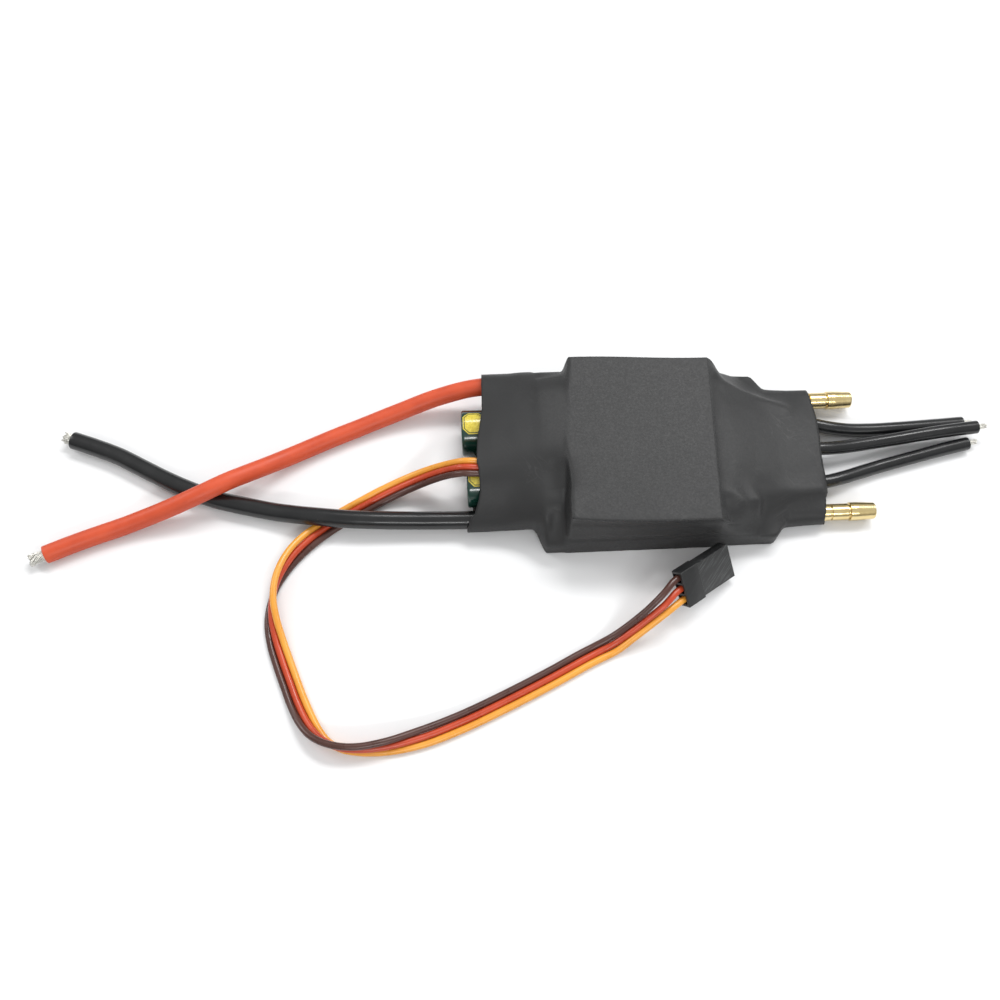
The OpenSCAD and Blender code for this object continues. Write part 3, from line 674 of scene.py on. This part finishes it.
def plug_material():
    n = Nodes("plug_nylon")
    broad = n.noise(300.0, 4.0, 0.6)
    fine = n.noise(5200.0, 2.0, 0.5)
    turn = [math.radians(a) for a in PLUG_TURN]
    own = n.mapped(location=metres(PLUG_ORIGIN), rotation=turn)
    parts = n.node("ShaderNodeSeparateXYZ")
    n.link(own, parts.inputs["Vector"])
    far_part = n.range(parts.outputs["X"], 0.15, 1.0, 0.0049, 0.0054)
    streaks = n.noise(1.0, 4.0, 0.7, n.mapped(scale=(160, 3600, 3600), rotation=(0, 0, 0.45), vector=own))
    marks = n.math("MULTIPLY", n.range(streaks, 0.0, 1.0, 0.5, 0.72), far_part)
    base = n.ramp(broad, [(0.3, (0.01, 0.0105, 0.011)), (0.7, (0.015, 0.0155, 0.016))])
    n.colour(n.mix(marks, base, (0.075, 0.08, 0.08)))
    n.roughness(n.range(broad, 0.36, 0.5, 0.3, 0.7))
    grain = n.bump(fine, 0.3, 0.00002)
    n.normal(n.bump(marks, 0.3, 0.00002, grain))
    return n.material


def place_plug_piece(piece):
    """From the plug's own frame to the place where it lies."""
    metre_matrix = plug_matrix()
    metre_matrix.translation = metre_matrix.translation * MM
    piece.data.transform(metre_matrix)


def add_plug():
    length, width, thickness = PLUG_SIZE
    collar = 4.9
    collar_wall = 0.25
    plug = plug_material()
    body = add_piece("plug_body", *box_mesh((0, 0, 0), (length, width, thickness)), plug, "plug_plastic")
    sleeve_box = box_mesh((0, -collar_wall, 0), (collar, width + collar_wall, thickness + collar_wall))
    other = scratch_object(*sleeve_box)
    modifier = body.modifiers.new("join", "BOOLEAN")
    modifier.operation = "UNION"
    modifier.solver = "EXACT"
    modifier.object = other
    apply_modifiers(body)
    bpy.data.objects.remove(other)
    bevel(body, 0.16, 3)
    middle = width / 2
    boxes = []
    for side in (-1, 0, 1):
        y = middle + side * PIN_PITCH
        boxes.append(((-1, y - 1, 0.3), (length - 1, y + 1, thickness - 0.3)))
        boxes.append(((length - 2, y - 0.4, 0.9), (length + 1, y + 0.4, 1.7)))
        boxes.append(((8.2, y - 0.75, -1), (10.4, y + 0.75, 1)))
    cut(body, boxes)
    bevel(body, 0.05, 2, 50)
    place_plug_piece(body)
    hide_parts("plug_housing")
    gold = plain_finish("terminal_gold", (0.75, 0.58, 0.26), (0.9, 0.75, 0.4), 900.0, (0.2, 0.35), 0.2, 1.0)
    parts = []
    for side in (-1, 0, 1):
        y = middle + side * PIN_PITCH
        z = thickness / 2
        parts.append(box_mesh((2.4, y - 0.9, z - 0.9), (length - 1, y + 0.9, z + 0.9)))
        parts.append(box_mesh((7.9, y - 0.3, z - 1.02), (9.6, y + 0.3, z - 0.9)))
    terminals = add_piece("plug_terminals", *join_meshes(parts), gold, "brass")
    bevel(terminals, 0.08, 2)
    place_plug_piece(terminals)
    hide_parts("crimp_terminals")
    return [body, terminals]


# ---------------------------------------------------------------- water nipples

def rounded_profile(corners, radius=0.08):
    """Takes the sharp edge off each corner of a closed profile."""
    made = []
    count = len(corners)
    for i in range(count):
        here = np.array(corners[i], float)
        before = np.array(corners[i - 1], float)
        after = np.array(corners[(i + 1) % count], float)
        back = before - here
        on = after - here
        cutback = min(radius, 0.4 * np.linalg.norm(back), 0.4 * np.linalg.norm(on))
        start = here + unit(back) * cutback
        end = here + unit(on) * cutback
        if np.linalg.norm(back) > 8 * radius:
            made.append(here + unit(back) * 2.5 * radius)
        for t in (0.0, 0.35, 0.65, 1.0):
            made.append((1 - t) ** 2 * start + 2 * t * (1 - t) * here + t * t * end)
        if np.linalg.norm(on) > 8 * radius:
            made.append(here + unit(on) * 2.5 * radius)
    return [tuple(p) for p in made]


def add_nipple(name, node, brass):
    low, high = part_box(node)
    axis_y = (low.y + high.y) / 2 / MM
    axis_z = (low.z + high.z) / 2 / MM
    end = high.x / MM
    bore = 1.1
    land = 1.85
    groove = 1.5
    barb = 2.05
    corners = [
        (bore, -30.4), (1.5, -30.4), (1.5, -24), (land, -24),
        (land, -14), (groove, -14), (groove, -13.7), (land, -13.7),
        (land, -9.9), (groove, -9.9), (groove, -9.6), (land, -9.6),
        (land, -6), (groove, -6), (groove, -5.6), (barb, -5.6),
        (barb, -4), (barb - 0.22, -0.25), (barb - 0.38, 0), (bore + 0.2, 0), (bore, -0.25),
    ]
    points, faces = lathe(rounded_profile(corners), (end, axis_y, axis_z), 80)
    piece = add_piece(name, points, faces, brass, "brass")
    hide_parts(node)


# ---------------------------------------------------------------- capacitors

def capacitor_print(name, axis):
    """Dark green plastic sleeve with printed gold panels."""
    n = Nodes(name)
    parts = n.node("ShaderNodeSeparateXYZ")
    n.link(n.mapped(location=axis), parts.inputs["Vector"])
    angle = n.math("ARCTAN2", parts.outputs["Z"], parts.outputs["Y"])
    turn = n.math("MULTIPLY", n.math("SUBTRACT", angle, 1.59), 5.17)
    along = n.math("MULTIPLY", parts.outputs["X"], 1000.0)
    across = n.math("ABSOLUTE", turn)
    from_middle = n.math("ABSOLUTE", n.math("SUBTRACT", along, 2.7))
    chamfer = n.math("MULTIPLY", n.math("SUBTRACT", n.math("ADD", from_middle, across), 3.8), 0.71)
    sides = n.math("MAXIMUM", n.math("SUBTRACT", from_middle, 2.3), n.math("SUBTRACT", across, 2.7))
    outside = n.math("MAXIMUM", sides, chamfer)
    line = n.math("LESS_THAN", n.math("ABSOLUTE", n.math("ADD", outside, 0.34)), 0.09)
    panel = n.math("MULTIPLY", n.math("LESS_THAN", outside, 0.0), n.math("SUBTRACT", 1.0, line))
    broad = n.noise(220.0, 3.0, 0.5)
    green = n.ramp(broad, [(0.3, (0.004, 0.028, 0.02)), (0.7, (0.006, 0.04, 0.028))])
    gold = n.ramp(n.noise(2500.0, 3.0, 0.7), [(0.35, (0.5, 0.38, 0.03)), (0.65, (0.72, 0.6, 0.08))])
    n.colour(n.mix(panel, green, gold))
    n.roughness(n.range(broad, 0.14, 0.24, 0.3, 0.7))
    n.normal(n.bump(n.noise(160.0, 2.0), 0.12, 0.0002))
    n.set(Coat_Weight=0.35, Coat_Roughness=0.08)
    return n.material


def add_capacitor(prefix, aluminium):
    sleeve_node = prefix + "_capacitor_sleeve"
    can_node = prefix + "_capacitor_can"
    low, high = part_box(sleeve_node)
    start = low.x / MM
    axis_y = (low.y + high.y) / 2 / MM
    axis_z = (low.z + high.z) / 2 / MM
    radius = (high.y - low.y) / 2 / MM
    length = (high.x - low.x) / MM
    can = radius - 0.17
    origin = (start, axis_y, axis_z)
    corners = [
        (can - 1.1, 0.17), (can - 1.1, 0.0), (radius - 0.5, 0.0), (radius - 0.15, 0.12), (radius, 0.5),
        (radius, length - 4.2), (radius - 0.3, length - 3.6), (radius - 0.3, length - 3.4),
        (radius, length - 2.8), (radius, length - 0.3), (radius - 0.15, length),
        (can, length), (can, length - 2.8), (can - 0.35, length - 3.4), (can - 0.35, length - 3.6), (can, length - 4.2),
        (can, 0.6), (can - 0.5, 0.17),
    ]
    points, faces = lathe(rounded_profile(corners, 0.3), origin)
    print_finish = capacitor_print(prefix + "_capacitor_print", metres(origin))
    sleeve = add_piece(prefix + "_capacitor_wrap", points, faces, print_finish, "capacitor_sleeve")
    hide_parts(sleeve_node)
    corners = [
        (0.01, 0.45), (1.3, 0.45), (1.42, 0.6), (1.58, 0.6), (1.7, 0.45), (can - 1.25, 0.3), (can - 0.9, 0.2),
        (can - 0.5, 0.2), (can - 0.02, 0.75), (can - 0.02, length - 4.3), (can - 0.37, length - 3.6),
        (can - 0.37, length - 3.4), (can - 0.02, length - 2.9), (can - 0.02, length - 0.17),
        (4.2, length - 0.17), (4.2, length - 2.57), (0.01, length - 2.57),
    ]
    points, faces = lathe(rounded_profile(corners, 0.2), origin)
    metal = add_piece(prefix + "_capacitor_metal", points, faces, aluminium, "can_aluminium")
    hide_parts(can_node)
    return sleeve


# ---------------------------------------------------------------- shrunk film

PLATE_HALF = 20.2
EDGE = 5.0
TOP = 15.6
SLOPE = math.tan(math.radians(2.9))
FILM = 0.42


def block_section(shift, top):
    half = 19.55
    return [
        (-PLATE_HALF, 0), (-7, 0), (7, 0), (PLATE_HALF, 0), (PLATE_HALF, EDGE),
        ((PLATE_HALF + half + shift) / 2, 10), (half + shift, top), (12, top), (4, top), (-4, top),
        (-12, top), (-half + shift, top), ((-PLATE_HALF - half + shift) / 2, 10), (-PLATE_HALF, EDGE),
    ]


CUT_SECTION = [
    (-13.4, 0.45), (-5.5, 0), (9.6, 0), (20.2, 5.2), (21.2, 7.2), (20.6, 9.4), (18.6, 11.1),
    (13.5, 11.7), (8, 12.3), (-1.5, 13.2), (-7.1, 12.9), (-12, 9.2), (-15.4, 4.9), (-15.4, 1.9),
]
CAPACITOR_SECTION = [
    (-13.4, 0.45), (-5.5, 0), (9.6, 0), (20.2, 5.2), (21.2, 7.2), (20.6, 9.4), (18.6, 11.4),
    (13.5, 12.8), (8, 13.6), (-1.5, 14.1), (-7.1, 13.1), (-12, 9.5), (-15.4, 5.4), (-15.4, 1.9),
]
LEAD_SECTION = [
    (-13.4, 0.3), (-5.5, 0), (9.4, 0), (20.2, 4.8), (21.2, 7.2), (20.4, 10), (18.6, 12),
    (13.5, 13.9), (8, 14.7), (-1.5, 14.9), (-7.1, 13.4), (-12.8, 10.9), (-16, 7.8), (-15.8, 3),
]
SHOULDER_SECTION = [
    (-PLATE_HALF, 0), (-7, 0), (9.6, 0), (PLATE_HALF, 0), (PLATE_HALF, EDGE), (20.2, 9.4),
    (18.8, 12.2), (13.5, 14.6), (8, 15.1), (-1.5, 15.2), (-7.1, 13.6), (-13, 12),
    (-17, 8.8), (-PLATE_HALF, EDGE),
]
CORNER_SECTION = [
    (-PLATE_HALF, 0), (-7, 0), (9.6, 0), (PLATE_HALF, 0), (PLATE_HALF, EDGE), (20.2, 9.4),
    (18.8, 12.6), (13.5, 15.3), (8, 15.5), (-1.5, 15.5), (-7.1, 14.2), (-13, 12.2),
    (-17.2, 8.9), (-PLATE_HALF, EDGE),
]
RAMP_SECTION = [
    (-PLATE_HALF, 0), (-7, 0), (7, 0), (PLATE_HALF, 0), (PLATE_HALF, EDGE), (19.8, 7.6),
    (17.4, 10), (10.5, 12.7), (4, 13.3), (-4, 13.3), (-10.5, 12.7), (-17.4, 10), (-19.8, 7.6),
    (-PLATE_HALF, EDGE),
]
PLATE_END_SECTION = [
    (-PLATE_HALF, 0), (-7, 0), (7, 0), (PLATE_HALF, 0), (PLATE_HALF, EDGE), (17.8, 5.3),
    (14.5, 6.6), (10.4, 9.7), (4, 10.3), (-3, 10.3), (-9.7, 9.7), (-14, 6.6), (-17.8, 5.3),
    (-PLATE_HALF, EDGE),
]
NECK_SECTION = [
    (-16.8, 0), (-7, 0), (7, 0), (16.8, 0), (17.2, 3.8), (15.6, 5.2), (13.4, 6.2), (10.4, 8.5), (4, 9),
    (-3, 9), (-9.8, 8.5), (-13, 6.2), (-15.6, 5.2), (-17.2, 3.8),
]
MOTOR_SECTION = [
    (-15.8, 0), (-7, 0), (7, 0), (15.8, 0), (16.9, 2.2), (16.3, 4.2), (14.4, 5.1), (9, 5.6), (4, 6),
    (-1, 6.1), (-8, 5.6), (-14.4, 5.1), (-16.3, 4.2), (-16.9, 2.2),
]
SOFT = [0.42] * 14
SHOULDER_ROUND = [0.12, 0.1, 0.1, 0.12, 0.25, 0.42, 0.42, 0.42, 0.42, 0.42, 0.42, 0.42, 0.42, 0.25]
BLOCK_ROUND = [0.04, 0.1, 0.1, 0.04, 0.2, 0.42, 0.05, 0.1, 0.1, 0.1, 0.1, 0.05, 0.42, 0.2]
NO_SAG = [0.0] * 14
BLOCK_SAG = [0, 0, 0, 0, 0.15, 0.25, 0, 0, 0, 0, 0, 0.25, 0.15, 0]
SHIFT = 14.65 * math.sin(math.radians(2.9))
STATIONS = [
    (-39.3, 0.1, CUT_SECTION, SOFT, NO_SAG),
    (-33, 0.07, CAPACITOR_SECTION, SOFT, NO_SAG),
    (-27, 0.04, LEAD_SECTION, SOFT, NO_SAG),
    (-24.6, 0, SHOULDER_SECTION, SHOULDER_ROUND, NO_SAG),
    (-20.4, SLOPE, CORNER_SECTION, SHOULDER_ROUND, NO_SAG),
    (-18.8, SLOPE, block_section(0.15 + SHIFT, TOP), BLOCK_ROUND, BLOCK_SAG),
    (11.7, SLOPE, block_section(0.15 - SHIFT, TOP), BLOCK_ROUND, BLOCK_SAG),
    (12.6, SLOPE, block_section(0.15 - SHIFT, TOP - 0.7), BLOCK_ROUND, BLOCK_SAG),
    (17, 0.02, RAMP_SECTION, SHOULDER_ROUND, NO_SAG),
    (24.6, 0, PLATE_END_SECTION, SHOULDER_ROUND, NO_SAG),
    (28, 0, NECK_SECTION, SOFT, NO_SAG),
    (38.2, 0, MOTOR_SECTION, SOFT, NO_SAG),
]


def monotone(xs, ys, x):
    """Monotone cubic interpolation of rows ys at xs, so a flat run stays flat and an edge stays crisp."""
    steps = np.diff(xs)
    slopes = np.diff(ys, axis=0) / steps[:, None]
    tangents = np.zeros_like(ys)
    same = slopes[:-1] * slopes[1:] > 0
    w1 = (2 * steps[1:] + steps[:-1])[:, None]
    w2 = (steps[1:] + 2 * steps[:-1])[:, None]
    with np.errstate(divide="ignore", invalid="ignore"):
        mean = (w1 + w2) / (w1 / slopes[:-1] + w2 / slopes[1:])
    tangents[1:-1] = np.where(same, mean, 0.0)
    tangents[0] = slopes[0]
    tangents[-1] = slopes[-1]
    i = min(max(int(np.searchsorted(xs, x)) - 1, 0), len(steps) - 1)
    h = steps[i]
    t = (x - xs[i]) / h
    return ((1 + 2 * t) * (1 - t) ** 2 * ys[i] + t * (1 - t) ** 2 * h * tangents[i]
            + t * t * (3 - 2 * t) * ys[i + 1] + t * t * (t - 1) * h * tangents[i + 1])


CORNER_STEPS = 5
EDGE_STEPS = 7


def section_points(outline, rounds, sags):
    """The outline with rounded corners and sagging sides, always with the same number of points."""
    count = len(outline)
    made = []
    for i in range(count):
        here = outline[i]
        before = outline[i - 1]
        after = outline[(i + 1) % count]
        start = here + (before - here) * rounds[i]
        end = here + (after - here) * rounds[i]
        for k in range(CORNER_STEPS):
            t = k / (CORNER_STEPS - 1)
            made.append((1 - t) ** 2 * start + 2 * t * (1 - t) * here + t * t * end)
        far = after + (here - after) * rounds[(i + 1) % count]
        side = after - here
        inward = unit(np.array((-side[1], side[0])))
        for k in range(1, EDGE_STEPS + 1):
            t = k / (EDGE_STEPS + 1)
            made.append(end + (far - end) * t + inward * sags[i] * math.sin(math.pi * t))
    return made


def film_rows():
    """X places of the rows along the film, with rows on every station."""
    xs = [s[0] for s in STATIONS]
    rows = [xs[0]]
    for a, b in zip(xs, xs[1:]):
        count = max(6, math.ceil((b - a) / 0.65))
        rows += [a + (b - a) * k / count for k in range(1, count + 1)]
    return rows


def film_grid():
    xs = np.array([s[0] for s in STATIONS])
    table = np.array([[s[1], *np.array(s[2]).ravel(), *s[3], *s[4]] for s in STATIONS], float)
    grid = []
    for x in film_rows():
        row = monotone(xs, table, x)
        outline = row[1:29].reshape(14, 2)
        ring = section_points(outline, row[29:43], row[43:57])
        grid.append([(x + row[0] * p[0], p[0], p[1]) for p in ring])
    return np.array(grid)


def grid_normals(grid):
    along = np.gradient(grid, axis=0)
    round_ = np.roll(grid, -1, axis=1) - np.roll(grid, 1, axis=1)
    normals = np.cross(round_, along)
    lengths = np.linalg.norm(normals, axis=2, keepdims=True)
    return normals / np.maximum(lengths, 1e-9)


def ridge(grid, start, end, width, height, fade=3.0):
    """Height of a soft fold between two places in plan, for every point of the grid."""
    a = np.array(start)
    b = np.array(end)
    flat = grid[:, :, :2]
    line = b - a
    t = ((flat - a) @ line) / (line @ line)
    nearest = a + np.clip(t, 0, 1)[..., None] * line
    distance = np.linalg.norm(flat - nearest, axis=2)
    past = np.maximum(0, np.maximum(-t, t - 1)) * np.linalg.norm(line)
    return height * np.exp(-(distance / width) ** 2) * np.exp(-(past / fade) ** 2)


CUT_WAVE = [
    (-16, -1.3), (-14.6, -0.4), (-13.2, 0.6), (-12, 1.3), (-10, 1.7), (-7.3, 1.5), (-1.8, 0.3), (3.3, 0.4),
    (9.8, 0.9), (16, 0.3), (21, 0),
]
MOTOR_WAVE = [(-17, -2), (-12.2, -1.3), (-8.4, -0.4), (-2.9, -0.7), (2.6, -0.2), (8.3, 0.1), (17, -0.6)]


def cut_ends(grid):
    """Shifts the two open ends to a hand-cut, slightly wavy line. The shift dies out along the film."""
    ends = (
        (0, CUT_WAVE, -0.3, 7.0),
        (-1, MOTOR_WAVE, -0.6, 7.0),
    )
    moved = grid.copy()
    for row, wave, under, fade in ends:
        edge = grid[row]
        shift = np.interp(edge[:, 1], [w[0] for w in wave], [w[1] for w in wave])
        for _ in range(4):
            shift = (np.roll(shift, 1) + 2 * shift + np.roll(shift, -1)) / 4
        upper = np.clip(edge[:, 2] / 2, 0, 1)
        shift = shift * upper + under * (1 - upper)
        away = np.abs(grid[:, :, 0] - edge[None, :, 0]) / fade
        moved[:, :, 0] += shift[None, :] * np.clip(1 - away, 0, 1) ** 2
    return moved


def film_relief(grid, normals):
    """Folds, hollows and small unevenness of the upper side."""
    lift = np.zeros(grid.shape[:2])
    upper = np.clip(normals[:, :, 2] * 2, 0, 1)
    lift += ridge(grid, (14.5, 15.6), (31, 9.4), 1.3, 0.55)
    lift += ridge(grid, (19.6, -13.2), (36, -9.6), 1.6, 0.8)
    lift += ridge(grid, (15.8, -15.2), (19, -14.6), 3, 1.9)
    lift -= ridge(grid, (13, -15), (13.6, -18.8), 1.2, 0.6, 2)
    lift -= ridge(grid, (-18.9, 18.8), (-24.6, 17.4), 0.8, 0.35)
    lift -= ridge(grid, (-22.8, -6.6), (-22.2, -10.6), 2.7, 0.9)
    lift += ridge(grid, (-25, -15.6), (-24.8, -16.6), 0.8, 0.35)
    lift -= ridge(grid, (-23.2, -17.6), (-22.4, -15.4), 1.2, 0.3)
    lift *= upper
    for i in range(grid.shape[0]):
        for k in range(grid.shape[1]):
            p = Vector(grid[i, k])
            slack = 0.3 if p.z > TOP - 0.3 else 1.0
            lift[i, k] += slack * (0.05 * noise.noise(p * 0.35) + 0.02 * noise.noise(p * 1.3))
    return lift


def add_film(material):
    grid = cut_ends(film_grid())
    normals = grid_normals(grid)
    lift = film_relief(grid, normals)
    outer = grid + normals * lift[..., None]
    outer[:, :, 2] = np.maximum(outer[:, :, 2], 0.0)
    inner = outer - grid_normals(outer) * FILM
    rows, sides = outer.shape[:2]
    points = np.concatenate([outer.reshape(-1, 3), inner.reshape(-1, 3)])
    faces = []
    base = rows * sides
    for i in range(rows - 1):
        for k in range(sides):
            a = i * sides + k
            b = i * sides + (k + 1) % sides
            faces.append((a, a + sides, b + sides, b))
            faces.append((base + a, base + b, base + b + sides, base + a + sides))
    last = (rows - 1) * sides
    for k in range(sides):
        n = (k + 1) % sides
        faces.append((k, n, base + n, base + k))
        faces.append((last + k, base + last + k, base + last + n, last + n))
    piece = add_piece("shrunk_film", points, faces, material, "sleeve_film")
    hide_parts("heat_shrink_sleeve")
    return piece


# ---------------------------------------------------------------- finishes of the CAD nodes that stay

def finish_inner_nodes(aluminium, tinned):
    board = plain_finish("board_green", (0.01, 0.075, 0.03), (0.018, 0.11, 0.045), 500.0, (0.3, 0.45), 0.3)
    chip = plain_finish("chip_epoxy", (0.012, 0.012, 0.013), (0.028, 0.028, 0.03), 1200.0, (0.5, 0.7), 0.4)
    pad = plain_finish("pad_gum", (0.19, 0.22, 0.27), (0.26, 0.3, 0.36), 300.0, (0.7, 0.85), 0.5)
    ceramic = plain_finish("ceramic_tan", (0.36, 0.25, 0.14), (0.5, 0.37, 0.22), 900.0, (0.35, 0.5), 0.2)
    rubber = plain_finish("rubber_black", (0.012, 0.012, 0.012), (0.03, 0.03, 0.03), 600.0, (0.6, 0.8), 0.4)
    brass = plain_finish("brass_plug", (0.6, 0.42, 0.16), (0.8, 0.6, 0.28), 600.0, (0.25, 0.4), 0.3, 1.0)
    plastic = plain_finish("header_nylon", (0.014, 0.014, 0.016), (0.03, 0.03, 0.032), 800.0, (0.4, 0.55), 0.2)
    finishes = {
        "cooling_plate": aluminium, "heat_spreader": aluminium, "channel_plug": brass, "nipple_seals": rubber,
        "lower_thermal_pad": pad, "upper_thermal_pad": pad, "lower_transistors": chip, "upper_transistors": chip,
        "power_board": board, "control_board": board, "current_shunt": tinned,
        "power_ceramic_capacitors": ceramic, "board_header": plastic, "microcontroller": chip,
        "gate_drivers": chip, "voltage_regulators": chip, "signal_resistors": chip, "capacitor_bungs": rubber,
        "capacitor_leads": tinned, "lead_cores": tinned, "solder_joints": tinned, "servo_wire_cores": tinned,
    }
    for node, material in finishes.items():
        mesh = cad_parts[node].data
        mesh.materials.clear()
        mesh.materials.append(material)


# ---------------------------------------------------------------- the scene

add_camera()
black_silicone = silicone_material("silicone_black", (0.006, 0.0065, 0.007), (0.011, 0.0115, 0.012), (0.2, 0.28),
                                   (0.03, 0.03, 0.03))
red_silicone = silicone_material("silicone_red", (0.5, 0.055, 0.014), (0.6, 0.075, 0.02), (0.42, 0.56),
                                 (0.65, 0.18, 0.1))
tinned_metal = tinned_material()
yellow_vinyl = silicone_material("vinyl_yellow", (0.7, 0.29, 0.035), (0.78, 0.35, 0.045), (0.24, 0.34),
                                 (0.85, 0.5, 0.2))
red_vinyl = silicone_material("vinyl_red", (0.42, 0.045, 0.014), (0.52, 0.06, 0.018), (0.24, 0.34),
                              (0.6, 0.15, 0.1))
brown_vinyl = silicone_material("vinyl_brown", (0.055, 0.02, 0.014), (0.08, 0.03, 0.022), (0.24, 0.34),
                                (0.15, 0.09, 0.07))
plug_pieces = add_plug()
add_power_leads(black_silicone, red_silicone, tinned_metal)
add_servo_lead(yellow_vinyl, red_vinyl, brown_vinyl)
add_stage()

aluminium = plain_finish("aluminium_brushed", (0.55, 0.56, 0.58), (0.72, 0.73, 0.75), 300.0, (0.25, 0.42), 0.3, 1.0,
                         (0.05, 1, 1))
brass = brass_material()
add_nipple("rear_nipple_turned", "rear_water_nipple", brass)
add_nipple("front_nipple_turned", "front_water_nipple", brass)
add_capacitor("rear", aluminium)
add_capacitor("front", aluminium)
add_film(film_material())
finish_inner_nodes(aluminium, tinned_metal)
